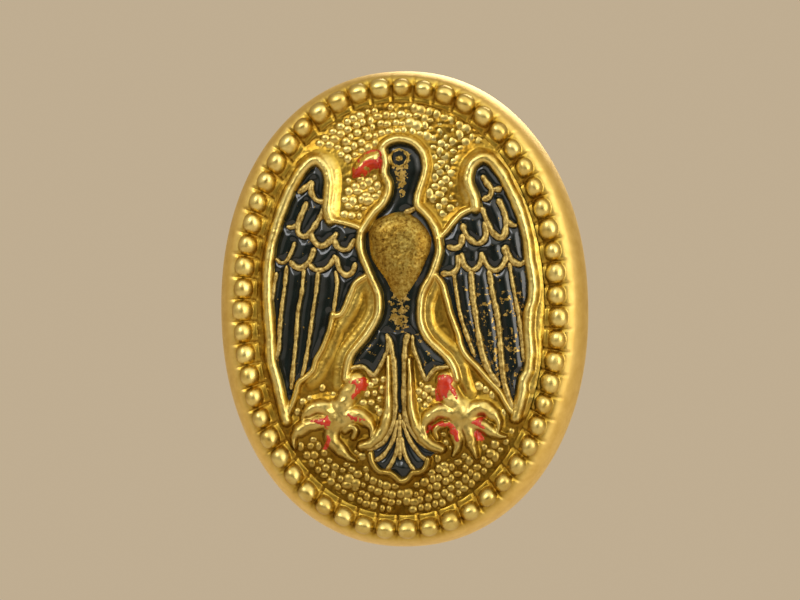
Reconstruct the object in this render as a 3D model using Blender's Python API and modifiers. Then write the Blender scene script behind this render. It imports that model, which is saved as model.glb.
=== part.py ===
"""Oval cap badge: a stamped gilt face with an eagle in relief, lacquered, closed by a back plate with two prongs.

The badge stands as it is worn. +Z is up, the face looks along -Y, and the origin is the middle of the plane
on which the rolled-in lip lies against the cap. Sizes are in millimetres until the last step of each piece.
"""

import math

import bmesh
import bpy
import numpy as np
from mathutils import Matrix, Vector

MM = 0.001

# Outer oval, and how far inside it the other ovals lie, at the sides and at the top
OVAL_POWER = 2.12
HALF_WIDTH = 11.7
HALF_HEIGHT = 15.0
SHOULDER_INSET = (0.75, 0.45)
BEAD_INSET = (1.73, 1.13)
FIELD_INSET = (2.6, 2.05)
LIP_OUTER_INSET = (0.5, 0.5)
LIP_INNER_INSET = (1.8, 1.8)
OVAL_SIDES = 56

# Depths, all measured forward from the plane of the lip
RIM_DEPTH = 1.3
SHOULDER_DEPTH = 2.9
BEAD_BASE_DEPTH = 3.1
FIELD_DEPTH = 2.9
FIELD_RISE = 0.5

# Sheet and relief
WALL = 0.4
BEAD_COUNT = 55
BEAD_RADIUS = 0.54
ROPE_RADIUS = 0.28
RIB_RADIUS = 0.15
ROPE_LIFT = 0.12
BREAST_RISE = 0.9
TOE_RADIUS = 0.34
SHANK_RADIUS = 0.5

# Lacquer
LACQUER_THICKNESS = 0.22
LACQUER_GAP = 0.07
LACQUER_CLEARANCE = 0.05
CLEARING_PASSES = 12

# Packing and back plate
PACKING_GAP = 0.15
PACKING_INSET = 0.5
PLATE_THICKNESS = 0.35
PLATE_GAP = 0.06
PLATE_OVERLAP = 0.85

# Loop and prongs
LOOP_WIRE = 0.8
LOOP_BEND = 0.45
EYE_WALL = 0.3
EYE_CLEARANCE = 0.06
EYE_SIDE_GAP = 0.1
PRONG_WIDTH = 2.2
PRONG_THICKNESS = 0.3
PRONG_LIFT = 0.24
PRONG_TIP_WIDTH = 1.2
PRONG_TIP_LENGTH = 1.6
PRONG_TO_LIP = 1.8
SHOULDER_CLEARANCE = 0.12

# The eagle is drawn for a field of this size, round its own centre, which lies off the badge's middle
DRAWING_FIELD = (9.1, 12.95)
DRAWING_CENTRE = (0.35, -0.08)
CURVE_STEP = 0.8
CELL_STEP = 0.25

# Raised outlines of the eagle, as points that a smooth line passes through
ROPES = {
    "wing_left": [
        (-2.75, 5.15), (-3.5, 5.45), (-4.6, 5.75), (-4.75, 6.6), (-4.62, 8.2), (-4.85, 9.0), (-5.5, 9.54),
        (-6.33, 8.97), (-7.25, 7.5), (-8.05, 5.5), (-8.6, 3.5), (-8.74, 1.2), (-8.6, -1.3), (-8.45, -3.5),
        (-8.0, -5.4), (-7.66, -6.87),
    ],
    "wing_left_inner": [
        (-2.4, 2.1), (-3.04, 1.7), (-3.67, 0.3), (-4.37, -0.35), (-4.88, -1.6), (-5.5, -2.9), (-6.08, -4.0),
        (-6.85, -4.8), (-7.28, -5.9), (-7.66, -6.87),
    ],
    "wing_right": [
        (2.45, 4.55), (3.27, 5.46), (4.4, 6.2), (4.29, 7.44), (4.2, 8.5), (5.2, 9.45), (6.27, 8.4),
        (7.18, 6.5), (7.8, 4.3), (8.15, 1.9), (8.05, 0.2), (7.86, -2.0), (7.7, -4.2), (7.2, -6.0),
        (6.9, -6.87),
    ],
    "wing_right_inner": [
        (2.08, 2.1), (2.71, 0.7), (3.2, -1.1), (3.7, -2.7), (4.6, -3.8), (5.6, -4.9), (6.38, -6.05),
        (6.9, -6.87),
    ],
    "body_left": [
        (-2.33, 5.33), (-2.73, 4.0), (-2.27, 2.67), (-1.67, 1.33), (-1.56, 0.0), (-2.1, -1.25),
        (-3.2, -2.55), (-3.74, -4.1),
    ],
    "neck_left": [(-2.33, 5.33), (-1.2, 6.67), (-0.8, 7.87), (-1.05, 8.75), (-1.05, 9.5)],
    "head_right": [
        (-1.27, 10.0), (-0.67, 10.63), (0.53, 10.6), (1.33, 9.8), (1.45, 8.6), (1.05, 7.1), (1.07, 6.4),
        (2.0, 5.2), (2.3, 3.8), (1.73, 2.0), (1.1, 0.3), (1.2, -1.3), (2.4, -2.75), (3.3, -4.1),
    ],
    "tuft_left": [(-3.4, -3.75), (-2.53, -3.7), (-1.95, -4.1), (-1.3, -3.2), (-0.98, -1.9)],
    "tuft_right": [(0.53, -1.7), (0.62, -2.75), (1.33, -4.45), (1.95, -3.85), (2.8, -3.7)],
}

# Fine raised lines: edges of feathers and of the tail
RIBS = {
    "scale_left_1": [(-6.6, 7.5), (-5.7, 8.2), (-5.8, 7.3), (-4.97, 6.85)],
    "scale_left_2": [(-6.1, 6.87), (-6.7, 5.4), (-6.4, 4.72), (-5.7, 5.25), (-4.9, 6.5)],
    "scale_left_3": [(-5.87, 5.0), (-5.3, 4.1), (-4.63, 4.38), (-4.2, 4.95)],
    "scale_left_4": [(-4.34, 4.5), (-3.83, 3.81), (-3.04, 4.5)],
    "covert_left_1": [(-8.14, 3.36), (-7.6, 3.1), (-6.89, 4.38)],
    "covert_left_2": [(-7.23, 3.19), (-6.5, 2.74), (-5.65, 3.98)],
    "covert_left_3": [(-5.99, 2.96), (-5.2, 2.57), (-4.29, 3.47)],
    "covert_left_4": [(-4.23, 3.42), (-3.6, 2.2), (-3.01, 2.96)],
    "quill_left_1": [(-7.44, 2.6), (-7.76, 0.6), (-8.04, -2.25)],
    "quill_left_2": [(-6.33, 2.4), (-6.71, 0.3), (-7.06, -2.88), (-7.25, -4.6)],
    "quill_left_3": [(-5.45, 2.3), (-5.76, 0.0), (-6.14, -2.25), (-6.52, -4.1)],
    "quill_left_4": [(-4.28, 2.3), (-4.25, 1.2), (-4.56, -0.35)],
    "scale_right_1": [(5.1, 8.25), (5.6, 7.4), (6.25, 7.4)],
    "scale_right_2": [(6.02, 6.76), (6.5, 5.5), (6.25, 4.4), (5.6, 4.85), (4.9, 6.5)],
    "scale_right_3": [(5.14, 5.5), (5.1, 4.2), (4.4, 4.2), (3.85, 5.0)],
    "scale_right_4": [(3.8, 4.6), (3.4, 3.8), (2.75, 3.95)],
    "covert_right_1": [(3.5, 3.5), (3.35, 2.3), (2.3, 2.17)],
    "covert_right_2": [(3.72, 3.5), (4.2, 2.42), (4.97, 3.5)],
    "covert_right_3": [(4.97, 3.36), (5.75, 2.34), (6.42, 3.6)],
    "covert_right_4": [(6.44, 3.87), (7.25, 2.72), (7.85, 3.2)],
    "quill_right_1": [(6.68, 2.9), (7.08, 0.4), (7.35, -1.6), (7.5, -3.4)],
    "quill_right_2": [(5.43, 2.3), (5.94, -1.0), (6.13, -3.8), (6.7, -6.0)],
    "quill_right_3": [(4.29, 2.3), (4.64, -1.0), (5.0, -3.2), (5.6, -4.6)],
    "quill_right_4": [(3.22, 2.2), (3.53, -0.2), (4.1, -2.2), (4.4, -3.2)],
    "tail_left": [(-1.05, -1.5), (-0.66, -4.0), (-0.7, -6.9), (-1.4, -8.2), (-2.4, -8.75)],
    "tail_right": [(0.2, -1.6), (-0.03, -4.3), (-0.05, -6.6), (0.5, -7.9), (1.6, -8.9)],
    "tail_middle": [(-0.36, -6.9), (-0.4, -9.3)],
    "tail_hem": [(-1.8, -10.1), (-1.0, -10.4), (-0.33, -10.85), (0.33, -10.5), (0.95, -10.2)],
}

# Thicker raised strokes, each with its radius: tail petals, shanks and toes
STROKES = {
    "petal_left": (0.3, [(-1.15, -3.8), (-1.1, -6.3), (-1.5, -7.5), (-2.5, -8.35)]),
    "petal_right": (0.3, [(0.42, -4.2), (0.45, -6.4), (0.85, -7.6), (2.0, -8.8)]),
    "shank_left": (SHANK_RADIUS, [(-3.1, -5.2), (-4.0, -6.3), (-4.5, -7.0)]),
    "toe_left_1": (TOE_RADIUS, [(-4.5, -6.6), (-5.5, -6.3), (-6.3, -6.7)]),
    "toe_left_2": (TOE_RADIUS, [(-4.8, -7.1), (-6.2, -7.5), (-7.0, -8.3)]),
    "toe_left_3": (TOE_RADIUS, [(-4.4, -7.4), (-4.3, -8.3), (-3.5, -9.3)]),
    "toe_left_4": (TOE_RADIUS, [(-3.9, -6.9), (-2.8, -6.9), (-2.2, -7.8)]),
    "shank_right": (SHANK_RADIUS, [(2.9, -5.7), (3.4, -6.4), (3.7, -7.0)]),
    "toe_right_1": (TOE_RADIUS, [(3.2, -6.8), (1.9, -6.6), (1.3, -7.7)]),
    "toe_right_2": (TOE_RADIUS, [(3.4, -7.1), (3.2, -8.2), (3.2, -8.7)]),
    "toe_right_3": (TOE_RADIUS, [(3.8, -7.1), (4.1, -8.2), (4.4, -9.2)]),
    "toe_right_4": (TOE_RADIUS, [(3.9, -6.7), (5.0, -6.5), (5.8, -7.4)]),
}

# Lacquered cells between the raised lines
BLACK_CELLS = {
    "wing_left_shoulder": [
        (-5.5, 9.0), (-6.2, 8.4), (-6.7, 7.85), (-6.2, 8.0), (-5.7, 8.6), (-5.45, 7.8), (-5.1, 7.2),
        (-5.15, 8.2),
    ],
    "wing_left_scale_1": [
        (-6.0, 7.4), (-5.95, 6.6), (-6.45, 5.4), (-6.2, 5.1), (-5.7, 5.8), (-5.3, 6.5), (-5.7, 6.9),
    ],
    "wing_left_scale_2": [(-7.1, 7.1), (-6.6, 7.1), (-6.5, 6.4), (-6.9, 5.6), (-7.5, 5.6)],
    "wing_left_scale_3": [(-5.5, 5.2), (-5.45, 4.6), (-5.1, 4.4), (-4.6, 4.8), (-4.7, 5.5), (-5.0, 5.9)],
    "wing_left_scale_4": [(-4.1, 5.3), (-4.05, 4.4), (-3.75, 4.1), (-3.4, 4.4), (-3.3, 5.0)],
    "wing_left_covert_1": [(-7.9, 5.0), (-8.1, 4.0), (-7.7, 3.4), (-7.2, 4.2), (-7.2, 4.9)],
    "wing_left_covert_2": [(-6.8, 4.6), (-6.8, 3.5), (-6.5, 3.1), (-6.1, 3.5), (-5.95, 4.2), (-6.3, 4.4)],
    "wing_left_covert_3": [(-5.5, 3.9), (-5.6, 3.2), (-5.2, 2.9), (-4.7, 3.4), (-4.7, 3.9), (-5.1, 3.8)],
    "wing_left_covert_4": [(-4.0, 3.6), (-3.9, 3.0), (-3.6, 2.6), (-3.3, 3.0), (-3.2, 3.7), (-3.6, 3.6)],
    "wing_left_primary_1": [(-8.3, 2.7), (-8.35, 1.2), (-8.25, -0.6), (-7.9, 0.8), (-7.7, 2.7)],
    "wing_left_primary_2": [
        (-7.2, 2.6), (-7.4, 1.4), (-7.6, 0.0), (-7.8, -1.6), (-7.9, -3.2), (-7.5, -4.4), (-7.3, -3.2),
        (-7.1, -1.6), (-6.85, 0.2), (-6.5, 2.4),
    ],
    "wing_left_primary_3": [
        (-6.1, 2.4), (-6.3, 1.2), (-6.5, 0.0), (-6.7, -1.6), (-6.9, -3.6), (-6.6, -3.6), (-6.35, -2.2),
        (-6.0, -0.2), (-5.7, 2.2),
    ],
    "wing_left_primary_4": [
        (-5.2, 2.3), (-5.35, 1.2), (-5.5, 0.0), (-5.75, -1.3), (-6.0, -2.8), (-5.4, -1.8), (-4.9, -0.8),
        (-4.6, 0.6), (-4.5, 2.3),
    ],
    "wing_left_primary_5": [(-3.95, 2.0), (-4.05, 1.2), (-4.1, 0.4), (-3.8, 0.8), (-3.5, 1.7)],
    "wing_right_shoulder": [
        (5.1, 9.1), (4.7, 8.6), (4.65, 7.6), (4.9, 7.1), (5.3, 7.2), (5.1, 7.7), (4.85, 8.3), (5.2, 8.6),
        (5.7, 7.8), (6.3, 7.7), (5.8, 8.6),
    ],
    "wing_right_scale_1": [
        (6.0, 7.1), (5.6, 6.8), (5.1, 6.5), (5.5, 5.4), (6.0, 4.7), (6.25, 5.5), (6.1, 6.2), (5.8, 6.7),
    ],
    "wing_right_scale_2": [(6.3, 6.9), (6.5, 6.2), (6.8, 5.5), (7.2, 5.4), (6.9, 6.3)],
    "wing_right_scale_3": [(4.6, 6.0), (4.1, 5.4), (4.1, 4.8), (4.6, 4.4), (4.9, 4.8), (4.9, 5.6)],
    "wing_right_scale_4": [(3.6, 5.3), (2.95, 4.7), (2.85, 4.3), (3.3, 4.1), (3.55, 4.7)],
    "wing_right_covert_1": [(3.2, 3.5), (2.6, 3.4), (2.5, 2.5), (3.1, 2.5)],
    "wing_right_covert_2": [(4.8, 3.9), (4.1, 3.9), (3.95, 3.4), (4.3, 2.8), (4.7, 3.4)],
    "wing_right_covert_3": [(6.1, 4.1), (5.4, 4.4), (5.2, 3.6), (5.7, 2.75), (6.1, 3.3)],
    "wing_right_covert_4": [(7.5, 4.6), (6.9, 4.8), (6.7, 4.0), (7.2, 3.1), (7.5, 3.5)],
    "wing_right_primary_1": [(7.05, 2.6), (7.3, 1.0), (7.45, -0.4), (7.65, -0.4), (7.8, 0.8), (7.75, 2.4)],
    "wing_right_primary_2": [
        (5.7, 2.1), (6.0, 0.6), (6.2, -1.2), (6.3, -2.9), (6.45, -4.6), (6.9, -5.5), (7.3, -4.2),
        (7.25, -2.9), (7.0, -1.2), (6.75, 0.4), (6.5, 2.4),
    ],
    "wing_right_primary_3": [
        (4.6, 2.1), (4.7, 0.6), (4.9, -1.1), (5.15, -2.8), (5.6, -4.2), (5.9, -3.8), (5.85, -2.4),
        (5.7, -1.0), (5.5, 0.4), (5.2, 2.2),
    ],
    "wing_right_primary_4": [
        (3.5, 2.1), (3.65, 0.6), (3.85, -0.9), (4.3, -2.2), (4.75, -3.1), (4.6, -2.0), (4.4, -0.8),
        (4.25, 0.4), (4.05, 2.2),
    ],
    "wing_right_primary_5": [(2.75, 2.1), (2.9, 1.2), (3.05, 0.6), (3.1, 1.2), (2.95, 2.1)],
    "head": [
        (-1.0, 9.85), (-0.5, 10.3), (0.4, 10.2), (0.95, 9.6), (1.0, 8.8), (0.7, 7.8), (0.6, 6.9), (0.2, 6.4),
        (-0.3, 6.3), (-0.4, 7.4), (-0.5, 8.5), (0.3, 8.9), (0.5, 9.5), (0.2, 10.0), (-0.5, 9.95),
    ],
    "neck": [(-1.2, 6.2), (-1.7, 5.75), (-2.0, 5.2), (-1.8, 5.3), (-1.2, 5.8), (-0.6, 6.3), (-0.9, 6.4)],
    "thigh_left": [
        (-1.35, -1.3), (-2.1, -1.9), (-2.8, -2.8), (-3.1, -3.45), (-2.4, -3.45), (-2.0, -3.7), (-1.5, -3.1),
        (-1.2, -2.2),
    ],
    "thigh_right": [
        (0.9, -1.6), (1.5, -2.1), (2.3, -3.0), (2.5, -3.4), (1.8, -3.5), (1.35, -4.0), (1.0, -3.2),
        (0.8, -2.3),
    ],
    "tail_shaft": [(-0.75, -1.6), (-0.5, -4.0), (-0.45, -6.2), (-0.2, -6.2), (-0.2, -4.0), (-0.05, -1.6)],
    "tail_strip_left": [(-0.75, -8.4), (-1.1, -9.0), (-1.5, -9.7), (-1.15, -9.9), (-0.75, -9.0)],
    "tail_strip_right": [(0.0, -8.5), (0.3, -9.1), (0.7, -9.8), (0.35, -9.9), (-0.05, -9.0)],
}
RED_CELLS = {
    "beak": [
        (-1.45, 9.9), (-2.13, 9.95), (-2.93, 9.4), (-3.2, 8.7), (-3.05, 8.35), (-2.6, 8.4), (-2.1, 8.6),
        (-1.5, 8.95),
    ],
    "ankle_left": [(-2.7, -4.25), (-3.4, -4.35), (-3.3, -4.6), (-2.6, -4.65)],
    "ankle_right": [(2.2, -4.3), (2.8, -4.35), (2.7, -4.9), (2.2, -5.0)],
    "claw_left": [(-4.95, -7.8), (-5.2, -8.3), (-4.9, -8.7), (-4.7, -8.2)],
    "claw_right": [(2.6, -7.35), (2.1, -7.5), (1.9, -7.3), (2.4, -7.15)],
}
EYE_CENTRE = (-0.17, 9.5)
EYE_OUTER = 0.43
EYE_INNER = 0.24
BREAST_CENTRE = (-0.2, 4.0)
BREAST_HALF = (1.6, 1.95)

GILT = (0.72, 0.47, 0.16)
BLACK = (0.012, 0.013, 0.014)
RED = (0.55, 0.05, 0.02)
CARD = (0.35, 0.27, 0.18)
BRASS = (0.6, 0.44, 0.2)


# Geometry helpers


def oval(size, depth, sides=OVAL_SIDES):
    """Points of an oval at a depth in front of the lip, anticlockwise from +X as seen from the front."""
    points = []
    for i in range(sides):
        turn = 2 * math.pi * i / sides
        x, z = (
            half * math.copysign(abs(part) ** (2 / OVAL_POWER), part)
            for half, part in zip(size, (math.cos(turn), math.sin(turn)))
        )
        points.append(Vector((x, -depth, z)))
    return points


def inset_oval(inset):
    return HALF_WIDTH - inset[0], HALF_HEIGHT - inset[1]


RIM = inset_oval((0, 0))
SHOULDER = inset_oval(SHOULDER_INSET)
BEAD_LINE = inset_oval(BEAD_INSET)
FIELD = inset_oval(FIELD_INSET)
LIP_OUTER = inset_oval(LIP_OUTER_INSET)
LIP_INNER = inset_oval(LIP_INNER_INSET)


def field_depth(x, z):
    """Depth of the domed field's front surface."""
    out = (x / FIELD[0]) ** 2 + (z / FIELD[1]) ** 2
    return FIELD_DEPTH + FIELD_RISE * max(0.0, 1 - out)


def placed(points):
    """Drawing points fitted to the field, on the badge's own axes."""
    wide, high = (size / drawn for size, drawn in zip(FIELD, DRAWING_FIELD))
    return [Vector(((x + DRAWING_CENTRE[0]) * wide, (z + DRAWING_CENTRE[1]) * high)) for x, z in points]


def smooth_line(points, closed=False, step_length=CURVE_STEP):
    """Points about step_length apart along a smooth line through the given ones."""
    count = len(points)
    line = []
    for i in range(count if closed else count - 1):
        before = points[i - 1] if closed or i else points[0]
        start = points[i]
        end = points[(i + 1) % count]
        after = points[(i + 2) % count] if closed else points[min(i + 2, count - 1)]
        steps = max(1, round((end - start).length / step_length))
        for step in range(steps):
            t = step / steps
            line.append(
                0.5 * (2 * start + t * (end - before) + t**2 * (2 * before - 5 * start + 4 * end - after)
                       + t**3 * (3 * start - before - 3 * end + after))
            )
    if not closed:
        line.append(points[-1])
    return line


# Blender helpers


def new_object(name, mesh, collection, material=None):
    obj = bpy.data.objects.new(name, mesh)
    collection.objects.link(obj)
    if material:
        mesh.materials.append(material)
    return obj


def new_material(name, colour, roughness, metallic):
    material = bpy.data.materials.new(name)
    material.use_nodes = True
    shader = material.node_tree.nodes["Principled BSDF"]
    shader.inputs["Base Color"].default_value = (*colour, 1.0)
    shader.inputs["Roughness"].default_value = roughness
    shader.inputs["Metallic"].default_value = metallic
    return material


def mesh_from(bm, name, angle=35):
    """A mesh in metres from a bmesh in millimetres."""
    bmesh.ops.scale(bm, vec=(MM, MM, MM), verts=bm.verts)
    bmesh.ops.recalc_face_normals(bm, faces=bm.faces)
    mesh = bpy.data.meshes.new(name)
    bm.to_mesh(mesh)
    bm.free()
    mesh.shade_smooth()
    mesh.set_sharp_from_angle(angle=math.radians(angle))
    return mesh


def mesh_of_curve(curve, name):
    """The curve's solid as a bmesh, with its caps welded on."""
    holder = bpy.data.objects.new(name, curve)
    bpy.context.scene.collection.objects.link(holder)
    graph = bpy.context.evaluated_depsgraph_get()
    mesh = bpy.data.meshes.new_from_object(holder.evaluated_get(graph))
    bm = bmesh.new()
    bm.from_mesh(mesh)
    bmesh.ops.remove_doubles(bm, verts=bm.verts, dist=0.0005)
    bpy.data.objects.remove(holder)
    bpy.data.meshes.remove(mesh)
    return bm


def tube(points, radius, name, resolution=1):
    """A round rod through 3D points, as a bmesh in millimetres."""
    curve = bpy.data.curves.new(name, "CURVE")
    curve.dimensions = "3D"
    curve.bevel_depth = radius
    curve.bevel_resolution = resolution
    curve.use_fill_caps = True
    spline = curve.splines.new("POLY")
    spline.points.add(len(points) - 1)
    for point, place in zip(spline.points, points):
        point.co = (*place, 1.0)
    return mesh_of_curve(curve, name)


def plate(outlines, thickness, name):
    """A flat plate with these outlines in X and Z, its faces at depths 0 and thickness, in millimetres."""
    curve = bpy.data.curves.new(name, "CURVE")
    curve.dimensions = "2D"
    curve.fill_mode = "BOTH"
    curve.extrude = thickness / 2
    for outline in outlines:
        spline = curve.splines.new("POLY")
        spline.points.add(len(outline) - 1)
        spline.use_cyclic_u = True
        for point, (x, z) in zip(spline.points, outline):
            point.co = (x, z, 0.0, 1.0)
    bm = mesh_of_curve(curve, name)
    bmesh.ops.rotate(bm, matrix=Matrix.Rotation(math.radians(90), 3, "X"), verts=bm.verts)
    bmesh.ops.translate(bm, vec=(0, -thickness / 2, 0), verts=bm.verts)
    return bm


def circle(centre, radius, sides=16):
    turns = [2 * math.pi * i / sides for i in range(sides)]
    return [(centre[0] + radius * math.cos(t), centre[1] + radius * math.sin(t)) for t in turns]


# The stamped face


def shell_sheet():
    """Outer surface of the face from the middle of the field round the rim to the lip's free edge."""
    rings = [
        oval([half / 3 for half in FIELD], field_depth(FIELD[0] / 3, 0)),
        oval([half * 2 / 3 for half in FIELD], field_depth(FIELD[0] * 2 / 3, 0)),
        oval(FIELD, FIELD_DEPTH),
        oval(BEAD_LINE, BEAD_BASE_DEPTH),
        oval(SHOULDER, SHOULDER_DEPTH),
        oval([half - 0.25 for half in RIM], (SHOULDER_DEPTH + RIM_DEPTH) / 2 + 0.15),
        oval(RIM, RIM_DEPTH),
        oval([half - 0.12 for half in RIM], RIM_DEPTH / 2 - 0.1),
        oval(LIP_OUTER, 0.0),
        oval(LIP_INNER, 0.0),
    ]
    bm = bmesh.new()
    loops = [[bm.verts.new(point) for point in ring] for ring in rings]
    middle = bm.verts.new((0, -field_depth(0, 0), 0))
    for i in range(OVAL_SIDES):
        j = (i + 1) % OVAL_SIDES
        bm.faces.new((middle, loops[0][i], loops[0][j]))
        for inner, outer in zip(loops, loops[1:]):
            bm.faces.new((inner[i], outer[i], outer[j], inner[j]))
    return bm


def bead_places():
    """Centres of the beads, at equal steps of length along their oval."""
    fine = oval(BEAD_LINE, BEAD_BASE_DEPTH, sides=BEAD_COUNT * 24)
    fine.append(fine[0])
    lengths = [0.0]
    for start, end in zip(fine, fine[1:]):
        lengths.append(lengths[-1] + (end - start).length)
    places = []
    at = 0
    for i in range(BEAD_COUNT):
        goal = lengths[-1] * i / BEAD_COUNT
        while lengths[at + 1] < goal:
            at += 1
        places.append(fine[at].lerp(fine[at + 1], (goal - lengths[at]) / (lengths[at + 1] - lengths[at])))
    return places


def dome(centre, half, rise, segments, rings, sink):
    """An ellipsoid at a place on the field, flattened behind so that it stays inside the sheet."""
    bm = bmesh.new()
    bmesh.ops.create_uvsphere(bm, u_segments=segments, v_segments=rings, radius=1.0)
    bmesh.ops.rotate(bm, matrix=Matrix.Rotation(math.radians(90), 3, "X"), verts=bm.verts)
    for vert in bm.verts:
        x, y, z = vert.co
        depth = y * rise if y < 0 else y * sink
        vert.co = centre + Vector((x * half[0], depth, z * half[1]))
    return bm


def on_field(point, lift):
    return Vector((point.x, -field_depth(point.x, point.y) - lift, point.y))


def raised_lines():
    """(name, radius, line) of everything that is drawn with a round stroke."""
    for name, points in ROPES.items():
        yield name, ROPE_RADIUS, smooth_line(placed(points))
    for name, points in RIBS.items():
        yield name, RIB_RADIUS, smooth_line(placed(points))
    for name, (radius, points) in STROKES.items():
        yield name, radius, smooth_line(placed(points))


def relief_forms():
    """(name, solid) of everything that stands up from the sheet."""
    for i, place in enumerate(bead_places()):
        radii = (BEAD_RADIUS, BEAD_RADIUS)
        yield f"bead_{i:02d}", dome(place, radii, BEAD_RADIUS, 8, 4, WALL / 2)
    for name, radius, line in raised_lines():
        lift = ROPE_LIFT if radius < WALL else 0.0
        yield name, tube([on_field(point, lift) for point in line], radius, name)
    breast = placed([BREAST_CENTRE])[0]
    yield "breast", dome(on_field(breast, 0), BREAST_HALF, BREAST_RISE, 14, 8, WALL / 2)
    pupil = placed([EYE_CENTRE])[0]
    size = (EYE_INNER - LACQUER_CLEARANCE,) * 2
    yield "pupil", dome(on_field(pupil, 0), size, LACQUER_THICKNESS * 2, 8, 4, WALL / 2)


def build_face_shell(collection, relief, material):
    """The stamping: the sheet with its beads and the eagle's raised lines, and the lip rolled in behind."""
    for name, bm in relief_forms():
        form = new_object(name + "_form", mesh_from(bm, name), relief)
        form.hide_render = True
        form.display_type = "WIRE"

    shell = new_object("face_shell", mesh_from(shell_sheet(), "face_shell"), collection, material)
    wall = shell.modifiers.new("wall", "SOLIDIFY")
    wall.thickness = WALL * MM
    wall.offset = -1
    wall.use_even_offset = True
    union = shell.modifiers.new("relief", "BOOLEAN")
    union.operation = "UNION"
    union.solver = "EXACT"
    union.operand_type = "COLLECTION"
    union.collection = relief


# Lacquer


def line_segments():
    """Starts, runs and reaches of all segments of the raised lines, as arrays."""
    starts, runs, reaches = [], [], []
    for _, radius, line in raised_lines():
        for start, end in zip(line, line[1:]):
            starts.append(start)
            runs.append(end - start)
            reaches.append(radius + LACQUER_CLEARANCE)
    return np.array(starts), np.array(runs), np.array(reaches)


def clear_outline(points, segments):
    """The cell's smooth outline, each point moved clear of the raised lines beside it."""
    starts, runs, reaches = segments
    outline = np.array(smooth_line(placed(points), closed=True, step_length=CELL_STEP))
    for _ in range(CLEARING_PASSES):
        for point in outline:
            along = ((point - starts) * runs).sum(axis=1) / (runs**2).sum(axis=1)
            away = point - (starts + np.clip(along, 0, 1)[:, None] * runs)
            distance = np.linalg.norm(away, axis=1)
            worst = np.argmax(reaches - distance)
            if distance[worst] < reaches[worst]:
                point += away[worst] * (reaches[worst] / distance[worst] - 1)
    return outline


def build_lacquer(name, outlines, collection, material):
    """One pool of lacquer lying on the domed field."""
    bm = plate(outlines, LACQUER_THICKNESS, name)
    for vert in bm.verts:
        vert.co.y -= field_depth(vert.co.x, vert.co.z) + LACQUER_GAP
    new_object(name, mesh_from(bm, name), collection, material)


def build_lacquers(collection, black, red):
    segments = line_segments()
    for name, points in BLACK_CELLS.items():
        build_lacquer("black_" + name, [clear_outline(points, segments)], collection, black)
    for name, points in RED_CELLS.items():
        build_lacquer("red_" + name, [clear_outline(points, segments)], collection, red)
    eye = placed([EYE_CENTRE])[0]
    rings = [circle(eye, EYE_OUTER), circle(eye, EYE_INNER)]
    build_lacquer("black_eye_ring", rings, collection, black)


# Filling and back


def plate_rear():
    """Y of the back plate's rear face, just in front of the lip."""
    return -(WALL + PLATE_GAP)


def build_packing(collection, material):
    """Card that fills the hollow stamping and keeps the thin face from denting."""
    rear = plate_rear() - PLATE_THICKNESS - PACKING_GAP
    front = -(FIELD_DEPTH - WALL - PACKING_GAP)
    size = [half - PACKING_INSET for half in FIELD]
    outline = [(p.x, p.z) for p in oval(size, 0, sides=40)]
    bm = plate([outline], rear - front, "packing_board")
    bmesh.ops.translate(bm, vec=(0, rear, 0), verts=bm.verts)
    new_object("packing_board", mesh_from(bm, "packing_board"), collection, material)


def build_back_plate(collection, material):
    """Sheet that closes the back, held all round behind the lip."""
    size = (LIP_INNER[0] + PLATE_OVERLAP, LIP_INNER[1] + PLATE_OVERLAP)
    outline = [(p.x, p.z) for p in oval(size, 0, sides=48)]
    bm = plate([outline], PLATE_THICKNESS, "back_plate")
    bmesh.ops.translate(bm, vec=(0, plate_rear(), 0), verts=bm.verts)
    new_object("back_plate", mesh_from(bm, "back_plate"), collection, material)


def axis_y():
    return plate_rear() + PRONG_LIFT + eye_radius()


def build_loop(collection, material):
    """Wire loop soldered upright on the back plate, with a straight bar that the prongs hang on."""
    foot = plate_rear() + PLATE_GAP / 2
    side = PRONG_WIDTH / 2 + SHOULDER_CLEARANCE + LOOP_WIRE / 2
    bar = axis_y()
    corner = []
    for step in range(4):
        turn = math.radians(90 * step / 3)
        x = side - LOOP_BEND * (1 - math.cos(turn))
        corner.append(Vector((x, bar - LOOP_BEND * (1 - math.sin(turn)), 0)))
    right = [Vector((side, foot, 0)), *corner]
    left = [Vector((-p.x, p.y, p.z)) for p in reversed(right)]
    new_object("prong_loop", mesh_from(tube(right + left, LOOP_WIRE / 2, "prong_loop", 3), "prong_loop"),
               collection, material)


def prong_blade():
    """Flat strip in X and Z, rising from its narrow root beside the other prong's eye."""
    half = PRONG_WIDTH / 2
    inner = EYE_SIDE_GAP / 2
    root = eye_radius() + SHOULDER_CLEARANCE
    end = LIP_INNER[1] - PRONG_TO_LIP
    taper = end - PRONG_TIP_LENGTH
    tip = PRONG_TIP_WIDTH / 2
    round_end = tip / 2
    return [
        (-half, 0), (-inner, 0), (-inner, root), (half, root), (half, taper), (tip, end - round_end),
        (tip - round_end, end), (round_end - tip, end), (-tip, end - round_end), (-half, taper),
    ]


def eye_radius():
    return LOOP_WIRE / 2 + EYE_CLEARANCE + EYE_WALL


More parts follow.
